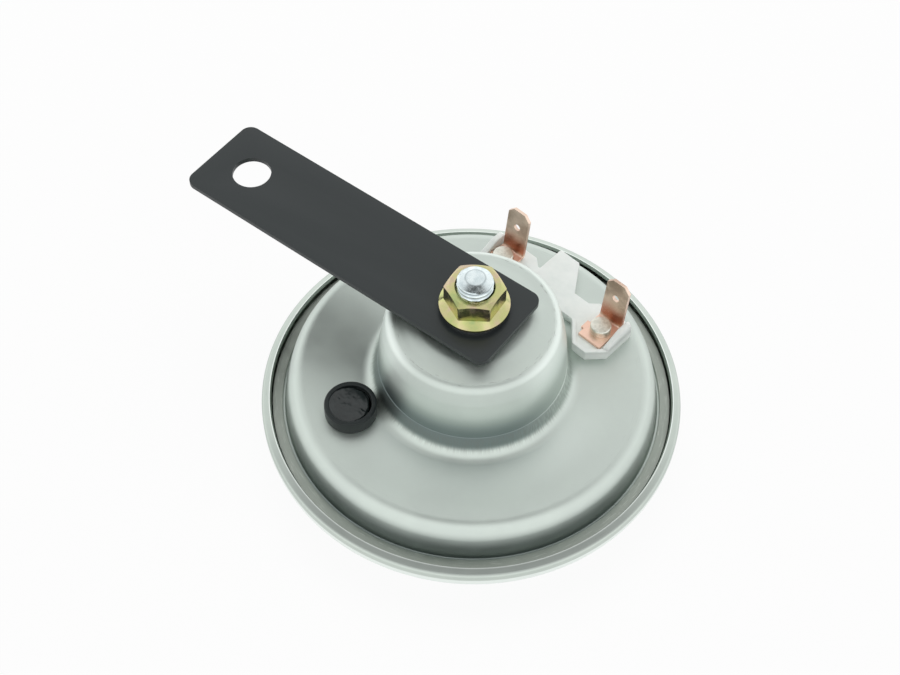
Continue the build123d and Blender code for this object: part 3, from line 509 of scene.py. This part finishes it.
def rounded(points, radii, step=12):
    """A chain of points with each inner corner replaced by an arc of its radius, in mm."""
    chain = [points[0]]
    for before, corner, after, radius in zip(points, points[1:], points[2:], radii):
        to_before = Vector(before) - Vector(corner)
        to_after = Vector(after) - Vector(corner)
        angle = to_before.angle(to_after)
        if radius < 0.01 or abs(angle - pi) < 0.01:
            chain.append(corner)
            continue
        back = min(radius / tan(angle / 2), to_before.length * 0.49, to_after.length * 0.49)
        real_radius = back * tan(angle / 2)
        middle = (to_before.normalized() + to_after.normalized()).normalized()
        centre = Vector(corner) + middle * real_radius / sin(angle / 2)
        start = Vector(corner) + to_before.normalized() * back - centre
        end = Vector(corner) + to_after.normalized() * back - centre
        sweep = start.angle_signed(end)
        count = max(3, int(abs(degrees(sweep)) / step) + 1)
        for index in range(count + 1):
            turned = start.copy()
            turned.rotate(Matrix.Rotation(-sweep * index / count, 2))
            chain.append(tuple(centre + turned))
    chain.append(points[-1])
    return chain


def beside(points, distance):
    """The chain that runs beside another, to its left, in mm."""
    normals = []
    for first, second in zip(points, points[1:]):
        run = (Vector(second) - Vector(first)).normalized()
        normals.append(Vector((-run.y, run.x)))
    chain = [Vector(points[0]) + normals[0] * distance]
    for corner, before, after in zip(points[1:-1], normals, normals[1:]):
        chain.append(Vector(corner) + (before + after) * distance / (1 + before.dot(after)))
    chain.append(Vector(points[-1]) + normals[-1] * distance)
    return [tuple(corner) for corner in chain]


def sheet_outline(points, radii, thickness, step=10):
    """A bent sheet's closed outline, its thickness to the left of the chain of points."""
    other_radii = []
    for a, b, c, radius in zip(points, points[1:], points[2:], radii):
        turning = (b[0] - a[0]) * (c[1] - b[1]) - (b[1] - a[1]) * (c[0] - b[0])
        other_radii.append(max(radius - thickness if turning > 0 else radius + thickness, 0.05))
    near = rounded(points, radii, step)
    far = rounded(beside(points, thickness), other_radii, step)
    return near + far[::-1]


flange_top = 9.9
plateau = 19.4
crease = 24.4
crown = 39.7
boss_top = 40.2
stud_hole = 4.2
housing_sheet = 1.0
housing_chain = [
    (45.7, flange_top), (43.5, flange_top), (42.35, 16.8), (40.4, plateau), (23.0, plateau),
    (21.6, crease - 0.1), (21.5, crease), (21.1, 30.5), (20.35, 35.0), (19.2, crown), (15.8, crown),
    (12.5, boss_top), (stud_hole, boss_top),
]
housing_bends = [0.3, 5.0, 3.6, 3.4, 0.04, 0.04, 14.0, 12.0, 4.6, 8.0, 8.0]
housing_outline = sheet_outline(housing_chain, housing_bends, housing_sheet, 5)
housing_data = spun("housing_pressing", housing_outline, 360)
terminal_azimuth = 83.8
terminal_radius = 27.3
terminal_gap = 30.5
outward = Vector((cos(radians(terminal_azimuth)), sin(radians(terminal_azimuth)), 0))
across = Vector((-outward.y, outward.x, 0))
adjuster_azimuth = -120.1
adjuster_radius = 29.7
adjuster = Vector((cos(radians(adjuster_azimuth)), sin(radians(adjuster_azimuth)), 0)) * adjuster_radius


def terminal_place(side):
    """Plan position of a terminal's rivet, in mm. Left is 1 and right is -1."""
    return outward * terminal_radius + across * (side * terminal_gap / 2)


def pierced(data, holes):
    """Cuts round holes, each (x, y, radius, low, high) in mm, through a mesh."""
    piece = new_object(data.name, data)
    for number, (hole_x, hole_y, radius, low, high) in enumerate(holes):
        drill = new_object(f"drill_{number}", spun(f"drill_{number}", [
            (0, low), (radius, low), (radius, high), (0, high)], 48, (hole_x, hole_y)))
        cut = piece.modifiers.new("hole", "BOOLEAN")
        cut.operation = "DIFFERENCE"
        cut.solver = "EXACT"
        cut.object = drill
        evaluated = piece.evaluated_get(bpy.context.evaluated_depsgraph_get())
        result = bpy.data.meshes.new_from_object(evaluated)
        piece.modifiers.clear()
        piece.data = result
        bpy.data.objects.remove(drill)
    result = piece.data
    bpy.data.objects.remove(piece)
    smooth(result, 35)
    return result


drill_from, drill_to = 17.0, 21.0
housing_holes = [(*terminal_place(side).xy, 2.7, drill_from, drill_to) for side in (1, -1)]
housing_holes.append((*adjuster.xy, 3.6, drill_from, drill_to))
housing = pierced(housing_data, housing_holes)
finished("rear_housing_pressing", housing, zinc_sheet, "zinc_steel", "rear_housing")

# Crimp ring: a strip of thin steel folded round the housing's flange, the gasket and the
# diaphragm. It isn't plated as well as the rest, and the folding rollers left marks along it.
ring_steel = new_material("ring_steel")
px, py, pz, from_axis = round_place()
roller_marks = grain(3500, hooped(0.004), detail=4)
dull = grain(160, detail=4)
ring_colour = blend(ramp(dull, 0.3, 0.7), (0.35, 0.385, 0.345), (0.43, 0.47, 0.425))
ring_colour = blend(ramp(roller_marks, 0.55, 0.68) * 0.5, ring_colour, (0.58, 0.62, 0.57))
surface(
    Base_Color=ring_colour,
    Metallic=1.0,
    Roughness=0.42 + 0.14 * ramp(dull, 0.35, 0.65),
    Normal=bumped(roller_marks, 0.03 * MM, 0.5),
)
ring_sheet = 0.6
ring_foot = 7.3
ring_top = flange_top + ring_sheet
ring_outline = rounded([
    (42.6, ring_foot + ring_sheet / 2), (42.6, ring_foot), (46.5, ring_foot), (46.5, ring_top),
    (44.1, ring_top), (44.1, flange_top), (45.8, flange_top), (45.8, ring_foot + ring_sheet),
    (42.6, ring_foot + ring_sheet), (42.6, ring_foot + ring_sheet / 2),
], [0.1, 0.5, 0.12, 0.12, 0.02, 0.05, 0.05, 0.1], 15)
ring = spun("crimp_ring_folded", ring_outline[:-1], 360)
finished("crimp_ring_folded", ring, ring_steel, "ring_steel", "crimp_ring")

# Tone disc: a dish pressed from 0.9 mm steel, which rings with the armature's blows. Its rim is
# turned back round the crimp ring and ends in a lip cut by the shear. The lip's top edge is lightened as a
# painted highlight, its lower outer rounding as a painted reflection of the floor, and its flat is darkened
# with painted shade on the side towards the camera.
dish_steel = new_material("dish_steel")
px, py, pz, from_axis = round_place()
hoop_marks = grain(4200, hooped(0.002), detail=3)
patches = grain(60, detail=4)
speckle = grain(14000, detail=1)
# Painted highlight on the lip's top edge, and a painted reflection of the floor on its lower outer rounding.
lip_top_painted_highlight = above(pz, 12.22, 12.32)
stretched = above(from_axis, 48.3, 48.7) * (1 - above(pz, 9.8, 10.4))
# Painted shade: the lip's flat is darkened on the side towards the camera, less at its top edge.
near_flat_painted_shade = above(pz, 11.2, 11.6) * (1 - above(from_axis, 48.4, 48.8))
near_flat_painted_shade = near_flat_painted_shade * ramp(facing(camera_azimuth), 0.1, 0.8) * (1 - lip_top_painted_highlight * 0.6)
dish_colour = blend(ramp(patches, 0.35, 0.65), (0.52, 0.58, 0.535), (0.58, 0.64, 0.59))
dish_colour = blend(lip_top_painted_highlight.maths("MAXIMUM", stretched), dish_colour, (0.86, 0.92, 0.88))
dish_colour = blend(near_flat_painted_shade * 0.6, dish_colour, (0.24, 0.26, 0.25))
dish_colour = blend(ramp(hoop_marks, 0.64, 0.72) * 0.25, dish_colour, (0.25, 0.25, 0.24))
surface(
    Base_Color=dish_colour,
    Metallic=1.0,
    Roughness=0.33 + 0.08 * ramp(patches, 0.3, 0.7),
    Normal=bumped(hoop_marks, 0.02 * MM, 0.3, bumped(speckle, 0.01 * MM, 0.3)),
)
dish_sheet = 0.9
dish_edge = 48.97
dish_chain = [
    (3.1, 6.0), (9.5, 6.0), (15.5, 3.0), (22.5, 3.0), (29.0, 0.0), (36.0, 0.0), (45.8, 3.4),
    (dish_edge, 8.4), (dish_edge, 11.6), (47.0, 12.35),
]
dish_bends = [2.0, 2.0, 2.0, 2.0, 2.5, 4.0, 2.5, 1.1]
dish = spun("tone_disc_pressing", sheet_outline(dish_chain, dish_bends, dish_sheet, 6), 360)
finished("tone_disc_pressing", dish, dish_steel, "disc_steel", "tone_disc")

# Spacer and strap: a washer on the boss carries a flat strap of 1.2 mm steel, blanked with
# round corners, pierced for the stud and for an M8 bolt, and painted satin black.
spacer_top = boss_top + 2.0
strap_top = spacer_top + 1.2
spacer_outline = rounded([
    (stud_hole, boss_top + 1.0), (stud_hole, boss_top), (8.0, boss_top), (8.0, spacer_top),
    (stud_hole, spacer_top), (stud_hole, boss_top + 1.0),
], [0.15, 0.25, 0.25, 0.15], 20)
spacer = spun("spacer_turned", spacer_outline[:-1], 128)
finished("spacer_turned", spacer, bright_zinc, "stud_steel", "stud_spacer")
black_paint = new_material("black_paint")
orange_peel = grain(900, detail=2)
dust = grain(7000, detail=2, roughness=0.7)
paint_cloud = grain(25, detail=4)
surface(
    Base_Color=blend(ramp(dust, 0.62, 0.72) * 0.2, (0.028, 0.034, 0.035), (0.038, 0.043, 0.044)),
    Metallic=0.0,
    Roughness=0.3 + 0.1 * ramp(paint_cloud, 0.35, 0.65) + 0.05 * ramp(dust, 0.5, 0.7),
    Specular_IOR_Level=0.32,
    Normal=bumped(orange_peel, 0.03 * MM, 0.2),
)


def plate(name, outlines, low, high, edge, bevel_steps=2):
    """A flat plate cut to outlines in mm, the first its edge and the others holes in it."""
    curve = bpy.data.curves.new(name, "CURVE")
    curve.dimensions = "2D"
    curve.fill_mode = "BOTH"
    curve.extrude = (high - low) / 2 * MM
    for outline in outlines:
        spline = curve.splines.new("POLY")
        spline.points.add(len(outline) - 1)
        for target, (x_value, y_value) in zip(spline.points, outline):
            target.co = (x_value * MM, y_value * MM, 0, 1)
        spline.use_cyclic_u = True
    maker = new_object(name, curve)
    bpy.context.view_layer.update()
    data = bpy.data.meshes.new_from_object(maker.evaluated_get(bpy.context.evaluated_depsgraph_get()))
    bpy.data.objects.remove(maker)
    mesh = bmesh.new()
    mesh.from_mesh(data)
    bmesh.ops.remove_doubles(mesh, verts=mesh.verts, dist=1e-7)
    bmesh.ops.translate(mesh, verts=mesh.verts, vec=(0, 0, (high + low) / 2 * MM))
    bmesh.ops.dissolve_limit(mesh, angle_limit=radians(1), verts=mesh.verts, edges=mesh.edges)
    if edge:
        rims = [e for e in mesh.edges if e.is_manifold and e.calc_face_angle(0) > radians(60)
                and abs(e.verts[0].co.z - e.verts[1].co.z) < 1e-7]
        bmesh.ops.bevel(mesh, geom=rims, offset=edge * MM, segments=bevel_steps, profile=0.6,
                        affect="EDGES", clamp_overlap=True)
    bmesh.ops.recalc_face_normals(mesh, faces=mesh.faces)
    mesh.to_mesh(data)
    mesh.free()
    smooth(data, 32)
    return data


def circle(x_value, y_value, radius, steps=64):
    """A round outline in mm."""
    return [(x_value + radius * cos(2 * pi * i / steps), y_value + radius * sin(2 * pi * i / steps))
            for i in range(steps)]


def round_corners(points, radius, step=9):
    """A closed outline with all of its corners rounded alike, or each by its own radius."""
    radii = radius if isinstance(radius, (list, tuple)) else [radius] * len(points)
    wrapped = [points[-1], *points, points[0]]
    return rounded(wrapped, radii, step)[1:-1]


strap_tail = 10.5
strap_reach = 74.9
strap_half = 22.5 / 2
strap_hole_pitch = 64.2
strap_outline = round_corners([
    (strap_tail, -strap_half), (strap_tail, strap_half),
    (-strap_reach, strap_half), (-strap_reach, -strap_half),
], 2.6)
strap_outlines = [strap_outline, circle(0, 0, stud_hole), circle(-strap_hole_pitch, 0, 4.5, 96)]
strap = plate("strap_blanked", strap_outlines, spacer_top, strap_top, 0.22, 3)
finished("strap_blanked", strap, black_paint, "strap_paint", "mounting_strap")

# Flange nut: an M8 hexagon nut with a conical flange, cold formed, and passivated yellow. The
# chromate film is iridescent, from straw to pink and green where it is thicker.
chromate = new_material("yellow_chromate")
film = grain(230, detail=2)
film_fine = grain(900, detail=2)
film_node = Strand.tree.nodes.new("ShaderNodeValToRGB")
Strand.tree.links.new((film * 0.8 + film_fine * 0.2).socket, film_node.inputs["Fac"])
film_colours = (
    (0.3, (0.36, 0.46, 0.2)),
    (0.42, (0.5, 0.52, 0.22)),
    (0.54, (0.56, 0.52, 0.27)),
    (0.64, (0.6, 0.47, 0.34)),
    (0.74, (0.46, 0.47, 0.26)),
)
film_stops = film_node.color_ramp.elements
while len(film_stops) < len(film_colours):
    film_stops.new(0.5)
for stop, (position, colour) in zip(film_stops, film_colours):
    stop.position = position
    stop.color = (*colour, 1)
surface(
    Base_Color=Strand(film_node.outputs["Color"]),
    Metallic=1.0,
    Roughness=0.16 + 0.1 * ramp(film_fine, 0.35, 0.65),
    Normal=bumped(film_fine, 0.02 * MM, 0.25),
)


def hexagon_nut(name, low, high, across_flats, bore, turn, top_circle, flange=None):
    """A nut in mm. A cone cuts its corners, at both ends unless it has a flange.

    The flange is given as its radius, its edge's height and its whole height.
    """
    steps = 192
    slope = tan(radians(30))
    mesh = bmesh.new()
    rings = []
    for index in range(steps):
        angle = 2 * pi * index / steps
        from_flat = (degrees(angle) - turn + 30) % 60 - 30
        corner = across_flats / 2 / cos(radians(from_flat))
        if flange:
            flange_radius, flange_edge, flange_height = flange
            column = [
                (flange_radius, low), (flange_radius, low + flange_edge),
                (max(corner, across_flats / 2 + 0.05), low + flange_height),
            ]
        else:
            column = [(top_circle, low), (corner, low + (corner - top_circle) * slope)]
        cut = high - max(corner - top_circle, 0) * slope
        column += [(corner, cut), (top_circle, high), (bore + 0.45, high), (bore, high - 0.4), (bore, low)]
        rings.append([mesh.verts.new((r * cos(angle) * MM, r * sin(angle) * MM, h * MM)) for r, h in column])
    for current, after in zip(rings, rings[1:] + rings[:1]):
        for number in range(len(current)):
            further = (number + 1) % len(current)
            mesh.faces.new((current[number], after[number], after[further], current[further]))
    bmesh.ops.recalc_face_normals(mesh, faces=mesh.faces)
    data = bpy.data.meshes.new(name)
    mesh.to_mesh(data)
    mesh.free()
    smooth(data, 28)
    return data


nut_low = 44.8
nut_high = 51.1
nut = hexagon_nut("flange_nut_formed", nut_low, nut_high, across_flats=11.8, bore=4.0,
                  turn=camera_azimuth, top_circle=5.6, flange=(7.8, 0.5, 1.6))
finished("flange_nut_formed", nut, chromate, "nut_steel", "flange_nut")

# Terminal block: an insulator moulded in milky nylon. It has a pad round each terminal, a fence
# at its outer ends, and a tab between them, and two spigots hold it in the housing's holes.


def grained(name, marks, dark, light, roughness, bumps, soft=False, **more):
    """A material whose colour, roughness and bumps all follow one grain.

    Marks are the grain's settings. Roughness is its least value and its range, and bumps are
    their depth in mm and their strength. The two colours run further into each other if soft.
    """
    material = new_material(name)
    pattern = grain(**marks)
    colour_spread, rough_spread = ((0.3, 0.7), (0.35, 0.65)) if soft else ((0.35, 0.65), (0.3, 0.7))
    surface(
        Base_Color=blend(ramp(pattern, *colour_spread), dark, light),
        Roughness=roughness[0] + roughness[1] * ramp(pattern, *rough_spread),
        Normal=bumped(pattern, bumps[0] * MM, bumps[1]),
        **more,
    )
    return material


nylon = grained(
    "milky_nylon", {"scale": 300}, (0.84, 0.89, 0.855), (0.9, 0.945, 0.905),
    roughness=(0.36, 0.1), bumps=(0.04, 0.25), soft=True, Subsurface_Weight=0.35,
    Subsurface_Radius=(0.004, 0.004, 0.004), Subsurface_Scale=0.5)


def on_block(along, sideways):
    """Plan position in mm of a point given outwards from, and across, the terminals' line."""
    spot = outward * (terminal_radius + along) + across * sideways
    return spot.x, spot.y


half = terminal_gap / 2
pad_start = half - 7.3
pad_end = half + 5.2
pad_height = 2.2
pocket_floor = plateau + pad_height
pad_rear = [
    (-7.3, pad_start + 5.0), (-7.3, pad_end - 3.6), (-3.7, pad_end), (5.1, pad_end), (6.4, pad_end - 1.5),
]
block_outline = pad_rear + [
    (6.4, pad_start + 2.0), (4.6, pad_start), (4.6, 7.4), (12.3, 7.4), (12.3, 1.5), (4.6, -3.6),
    (4.6, -pad_start), (6.4, -pad_start - 2.0),
] + [(along, -sideways) for along, sideways in pad_rear[::-1]] + [(-1.6, -pad_start), (-1.6, pad_start)]
boss_foot = 23.85
block_base = plate("block_base", [[on_block(*spot) for spot in round_corners(block_outline, 0.4, 30)]],
                   plateau, pocket_floor, 0.15, 2)


def cleared(data, radius):
    """Cuts a mesh back to an upright cylinder round the axis, in mm."""
    return pierced(data, [(0, 0, radius, 10, 60)])


def tray_rim(side):
    """The low rim round one terminal's pad. It is open towards the other terminal."""
    outer = [(-1.9, pad_start + 0.3), *pad_rear, (6.4, pad_end - 2.0), (6.2, pad_end - 2.2)]
    inner = [
        (5.7, pad_end - 2.2), (5.5, pad_end - 2.0), (5.5, pad_end - 1.7), (4.7, pad_end - 0.9),
        (-3.3, pad_end - 0.9), (-6.4, pad_end - 4.0), (-6.4, pad_start + 5.3), (-1.5, pad_start + 1.1),
    ]
    radii = [0.25] + [0.5] * 6 + [0.2, 0.2] + [0.4] * 6 + [0.25]
    corners = round_corners(outer + inner, radii, 30)
    rim = plate("tray_rim", [[on_block(along, sideways * side) for along, sideways in corners]],
                pocket_floor - 0.1, pocket_floor + 0.8, 0.15, 2)
    return cleared(rim, boss_foot)


def end_fence(side):
    """The fence that stands along one pad's outer end, with its upper edges rounded."""
    mesh = bmesh.new()
    profile = round_corners([(-3.6, -0.1), (5.0, -0.1), (5.0, 2.3), (4.4, 3.0), (1.6, 3.0), (-3.6, 0.9)],
                            [0.05, 0.05, 0.5, 0.5, 2.5, 0.4], 20)
    walls = []
    for wall in (side * (pad_end - 1.6), side * (pad_end - 0.02)):
        walls.append([mesh.verts.new(Vector((*on_block(a, wall), pocket_floor + h)) * MM)
                      for a, h in profile])
    mesh.faces.new(walls[0])
    mesh.faces.new(walls[1][::-1])
    for index in range(len(profile)):
        after = (index + 1) % len(profile)
        mesh.faces.new((walls[0][index], walls[0][after], walls[1][after], walls[1][index]))
    bmesh.ops.recalc_face_normals(mesh, faces=mesh.faces)
    lips = [e for e in mesh.edges
            if e.calc_face_angle(0) > radians(60) and e.verts[0].co.z > pocket_floor * MM]
    bmesh.ops.bevel(mesh, geom=lips, offset=0.45 * MM, segments=4, profile=0.6, affect="EDGES")
    data = bpy.data.meshes.new("fence")
    mesh.to_mesh(data)
    mesh.free()
    smooth(data, 35)
    return data


spigot = [(0, plateau - 1.0), (2.6, plateau - 1.0), (2.6, plateau + 0.1), (0, plateau + 0.1)]
block_parts = [cleared(block_base, boss_foot)]
for side in (1, -1):
    block_parts.append(tray_rim(side))
    block_parts.append(end_fence(side))
    block_parts.append(spun("spigot", spigot, 48, terminal_place(side).xy))
block = joined("terminal_block_moulded", block_parts)
finished("terminal_block_moulded", block, nylon, "white_nylon", "terminal_block")

# Terminals: two blades stamped and folded from 0.8 mm copper, bare and a little tarnished, each
# held by a steel rivet that goes through the block and the housing to a solder tag inside.
copper = new_material("bare_copper")
tarnish = grain(220, detail=4)
fine = grain(2200, detail=2, stretch=(1, 1, 3))
height = parts_of(place())[2]
# Painted shade: the blade is darker and redder round its fold and low on its upright part. Painted
# highlight: its flat foot is lighter.
folded = between(height, 22.6, 23.6, 24.5, 29.0)
foot_painted_highlight = 1 - above(height, 22.4, 22.8)
copper_colour = blend(ramp(tarnish, 0.35, 0.65), (0.58, 0.42, 0.33), (0.86, 0.68, 0.56))
copper_colour = blend(folded * 0.85, copper_colour, (0.55, 0.23, 0.15))
copper_colour = blend(foot_painted_highlight * 0.6, copper_colour, (1.0, 0.66, 0.52))
copper_colour = blend(ramp(fine, 0.55, 0.7) * 0.3, copper_colour, (0.98, 0.8, 0.7))
surface(
    Base_Color=copper_colour,
    Metallic=1.0,
    Roughness=0.28 + 0.14 * ramp(tarnish, 0.3, 0.7),
    Normal=bumped(fine, 0.02 * MM, 0.3),
)
rivet_steel = grained(
    "rivet_steel", {"scale": 1200, "detail": 4}, (0.66, 0.66, 0.58), (0.84, 0.84, 0.76),
    roughness=(0.34, 0.16), bumps=(0.06, 0.5), Metallic=1.0)
blade_sheet = 0.8
fold = 4.3
half_blade = 3.15
blade_height = 13.5
detent_height = 8.5
tip_chamfer = 1.5
bend_radius = 1.3
bend_steps = 12


def folded_blade(name, seat, turned):
    """A blade stamped flat, then folded up by an angle, with its foot on a rivet's seat."""
    tangent = bend_radius * tan(turned / 2)
    reach = fold - tangent
    arc_length = bend_radius * turned
    blade_end = reach + arc_length + blade_height - tangent
    stamped = [
        (-4.1, -half_blade), (-4.1, half_blade), (-2.25, half_blade), (-2.25, 3.9), (0.15, 3.9),
        (0.15, half_blade), (blade_end - tip_chamfer, half_blade), (blade_end, half_blade - tip_chamfer),
        (blade_end, -half_blade + tip_chamfer), (blade_end - tip_chamfer, -half_blade),
    ]
    hole_at = reach + arc_length + detent_height - tangent
    flat_blade = plate("blade_flat", [stamped, circle(0, 0, 1.5, 32), circle(hole_at, 0, 0.9, 32)],
                       0.0, blade_sheet, 0.08, 1)
    mesh = bmesh.new()
    mesh.from_mesh(flat_blade)
    for index in range(bend_steps + 1):
        cut_at = reach + arc_length * index / bend_steps
        bmesh.ops.bisect_plane(mesh, geom=mesh.verts[:] + mesh.edges[:] + mesh.faces[:],
                               plane_co=(cut_at * MM, 0, 0), plane_no=(1, 0, 0))
    for vertex in mesh.verts:
        s, b, t = (value / MM for value in vertex.co)
        if s <= reach:
            along, up = s, t
        elif s <= reach + arc_length:
            angle = (s - reach) / bend_radius
            along = reach + (bend_radius - t) * sin(angle)
            up = bend_radius - (bend_radius - t) * cos(angle)
        else:
            run = s - reach - arc_length
            along = reach + (bend_radius - t) * sin(turned) + run * cos(turned)
            up = bend_radius - (bend_radius - t) * cos(turned) + run * sin(turned)
        spot = seat + outward * along + across * b
        vertex.co = Vector((spot.x, spot.y, pocket_floor + up)) * MM
    bmesh.ops.recalc_face_normals(mesh, faces=mesh.faces)
    data = bpy.data.meshes.new(name)
    mesh.to_mesh(data)
    mesh.free()
    smooth(data, 30)
    return data


rivet_outline = rounded([
    (0, 15.8), (2.4, 15.8), (2.4, 16.6), (1.5, 16.6), (1.5, 22.4), (2.5, 22.4), (2.45, 24.5), (0, 24.5),
], [0.3, 0.02, 0.02, 0.02, 0.05, 0.35], 15)
for side, label, lean in ((1, "left", 7.0), (-1, "right", 6.0)):
    seat = terminal_place(side)
    blade = folded_blade(f"blade_{label}", seat, radians(90 - lean))
    finished(f"blade_{label}_folded", blade, copper, "copper", f"terminal_blade_{label}")
    rivet = spun(f"rivet_{label}_headed", rivet_outline, 64, seat.xy)
    finished(f"rivet_{label}_headed", rivet, rivet_steel, "rivet_steel", f"terminal_rivet_{label}")

# Adjuster: a slotted screw in a brass bush sets the contact gap. A black rubber cap stands over
# it, filled with a glossy sealing compound once the horn's note is set.
black_rubber = grained(
    "black_rubber", {"scale": 1800}, (0.010, 0.014, 0.014), (0.019, 0.025, 0.025),
    roughness=(0.4, 0.12), bumps=(0.04, 0.3), soft=True, Specular_IOR_Level=0.3)
well_radius = 4.8
well_floor = 21.9
cap_outline = rounded([
    (4.6, plateau), (5.95, plateau), (5.95, 23.0), (well_radius, 23.0), (well_radius, well_floor),
    (2.55, well_floor), (2.55, 20.2), (4.6, 20.2), (4.6, plateau),
], [0.25, 0.5, 0.25, 0.1, 0.02, 0.02, 0.02], 12)
cap = spun("adjuster_cap_moulded", cap_outline[:-1], 128, adjuster.xy)
finished("adjuster_cap_moulded", cap, black_rubber, "cap_rubber", "adjuster_cap")
compound = grained(
    "sealing_compound", {"scale": 330, "detail": 2}, (0.010, 0.015, 0.015), (0.022, 0.029, 0.029),
    roughness=(0.1, 0.12), bumps=(0.4, 0.6), soft=True)
sealant_rings = 36
poured_to = 22.55
sealant_outline = [(0, well_floor), (well_radius, well_floor)] + [
    (well_radius * (1 - i / sealant_rings), poured_to) for i in range(sealant_rings)] + [(0, poured_to)]
sealant = spun("sealant_poured", sealant_outline, 160, adjuster.xy)
shrunk_towards = radians(55)
for vertex in sealant.vertices:
    if vertex.co.z > (well_floor + 0.3) * MM:
        x, y = vertex.co.x - adjuster.x * MM, vertex.co.y - adjuster.y * MM
        spread = hypot(x, y) / (well_radius * MM)
        shrunk = cos(atan2(y, x) - shrunk_towards)
        shore = 0.95 - 0.14 * max(0.0, shrunk) - 0.12 * min(0.0, shrunk)
        shore += 0.07 * noise.noise(vertex.co * 700.0)
        fall = min(max((spread - shore) / 0.06, 0.0), 1.0)
        level_change = 0.08 * noise.noise(vertex.co * 260.0) - 0.22 * shrunk * spread
        vertex.co.z += (level_change - 0.5 * fall * fall * (3 - 2 * fall)) * MM
finished("sealant_poured", sealant, compound, "sealant", "sealant")

# Front of the stem: the armature's M6 stem comes through the tone disc, with a split spring
# washer and a thin hexagon nut on it. The armature itself is soft iron, turned in one piece.
soft_iron = grained(
    "soft_iron", {"scale": 500, "stretch": (1, 1, 14)}, (0.36, 0.35, 0.34), (0.5, 0.49, 0.47),
    roughness=(0.36, 0.14), bumps=(0.03, 0.4), Metallic=1.0)
stem_length = 9.4
stem_thread = grown_mesh("stem_thread", {
    "Outer Radius": 3.0 * MM,
    "Depth": 0.5 * MM,
    "Pitch": 1.0 * MM,
    "Length": stem_length * MM,
    "Base Height": -stem_length * MM,
    "Chamfer": 0.6 * MM,
    "Rings": 96,
    "Finish": soft_iron,
})
for vertex in stem_thread.vertices:
    vertex.co.z = -vertex.co.z
    vertex.co.y = -vertex.co.y
smooth(stem_thread, 40)
armature_turning = spun("armature_turning", rounded([
    (0, stem_length), (7.3, stem_length), (7.3, 12.9), (10.5, 12.9), (10.5, 14.1), (7.3, 14.1),
    (7.3, 26.3), (0, 26.3),
], [0.2, 0.1, 0.2, 0.2, 0.1, 0.4], 20), 128)
armature = joined("armature_turned", [armature_turning, stem_thread])
finished("armature_turned", armature, soft_iron, "soft_iron", "armature")
front_nut = hexagon_nut("front_nut_formed", 1.2, 4.6, across_flats=10.0, bore=3.0, turn=0.0,
                        top_circle=4.8)
finished("front_nut_formed", front_nut, bright_zinc, "stud_steel", "front_nut")

# Kept from the CAD: the sealed working parts, whose solids are already their real shapes. Each
# gets the finish of its own stock: spring steel, iron, fibre, moulded plastic, enamelled wire.
spring_steel = grained(
    "spring_steel", {"scale": 700, "stretch": (1, 12, 1)}, (0.42, 0.43, 0.44), (0.55, 0.56, 0.57),
    roughness=(0.28, 0.12), bumps=(0.02, 0.3), Metallic=1.0)
pressed_fibre = grained(
    "pressed_fibre", {"scale": 1500, "detail": 5}, (0.3, 0.12, 0.06), (0.45, 0.2, 0.1),
    roughness=(0.6, 0.2), bumps=(0.05, 0.5))
gasket_paper = grained(
    "gasket_paper", {"scale": 1800, "detail": 5}, (0.26, 0.22, 0.16), (0.4, 0.35, 0.27),
    roughness=(0.75, 0.1), bumps=(0.05, 0.4))
moulded_black = grained(
    "moulded_black", {"scale": 2500}, (0.02, 0.02, 0.02), (0.04, 0.04, 0.04),
    roughness=(0.5, 0.12), bumps=(0.04, 0.3), soft=True)
wire_sleeve = grained(
    "wire_sleeve", {"scale": 2600, "detail": 2}, (0.4, 0.04, 0.03), (0.52, 0.07, 0.05),
    roughness=(0.44, 0.1), bumps=(0.03, 0.3), soft=True)
contact_metal = grained(
    "contact_metal", {"scale": 6000}, (0.44, 0.43, 0.41), (0.6, 0.59, 0.57),
    roughness=(0.38, 0.14), bumps=(0.02, 0.4), Metallic=1.0)
turned_brass = grained(
    "turned_brass", {"scale": 900, "stretch": (1, 1, 10)}, (0.62, 0.46, 0.2), (0.78, 0.62, 0.32),
    roughness=(0.26, 0.12), bumps=(0.03, 0.3), Metallic=1.0)
enamelled_wire = new_material("enamelled_wire")
wire_pitch = 0.6 * MM
# Each turn is painted lighter along its crest and darker in the groove to the next, as painted highlight and
# painted shade.
turn_wave = (parts_of(place())[2] * (2 * pi / wire_pitch)).maths("SINE")
surface(
    Base_Color=blend(ramp(turn_wave, -0.8, 0.4), (0.16, 0.05, 0.015), (0.56, 0.22, 0.07)),
    Metallic=0.7,
    Roughness=0.26 + 0.1 * ramp(grain(800), 0.3, 0.7),
    Normal=bumped(turn_wave, 0.2 * MM, 0.8),
)
kept_finishes = {
    bright_zinc: ["spring_washer"],
    spring_steel: ["lock_washer", "diaphragm", "hub_washer_rear", "hub_washer_front", "contact_spring"],
    soft_iron: ["yoke_plate"],
    pressed_fibre: ["inner_insulator", "screw_pad", "breaker_insulator_top", "breaker_insulator_middle",
                    "breaker_insulator_bottom", "spring_pusher"],
    gasket_paper: ["gasket"],
    moulded_black: ["coil_bobbin"],
    enamelled_wire: ["coil_winding"],
    wire_sleeve: ["feed_lead", "spring_lead", "return_lead"],
    contact_metal: ["fixed_contact", "moving_contact"],
    turned_brass: ["adjuster_bush"],
    rivet_steel: ["adjusting_screw", "breaker_bracket", "breaker_clamp", "breaker_rivet"],
    copper: ["contact_strip", "lead_tag_left", "lead_tag_right"],
}
for material, names in kept_finishes.items():
    for name in names:
        data = nodes[name].data
        data.materials.clear()
        data.materials.append(material)
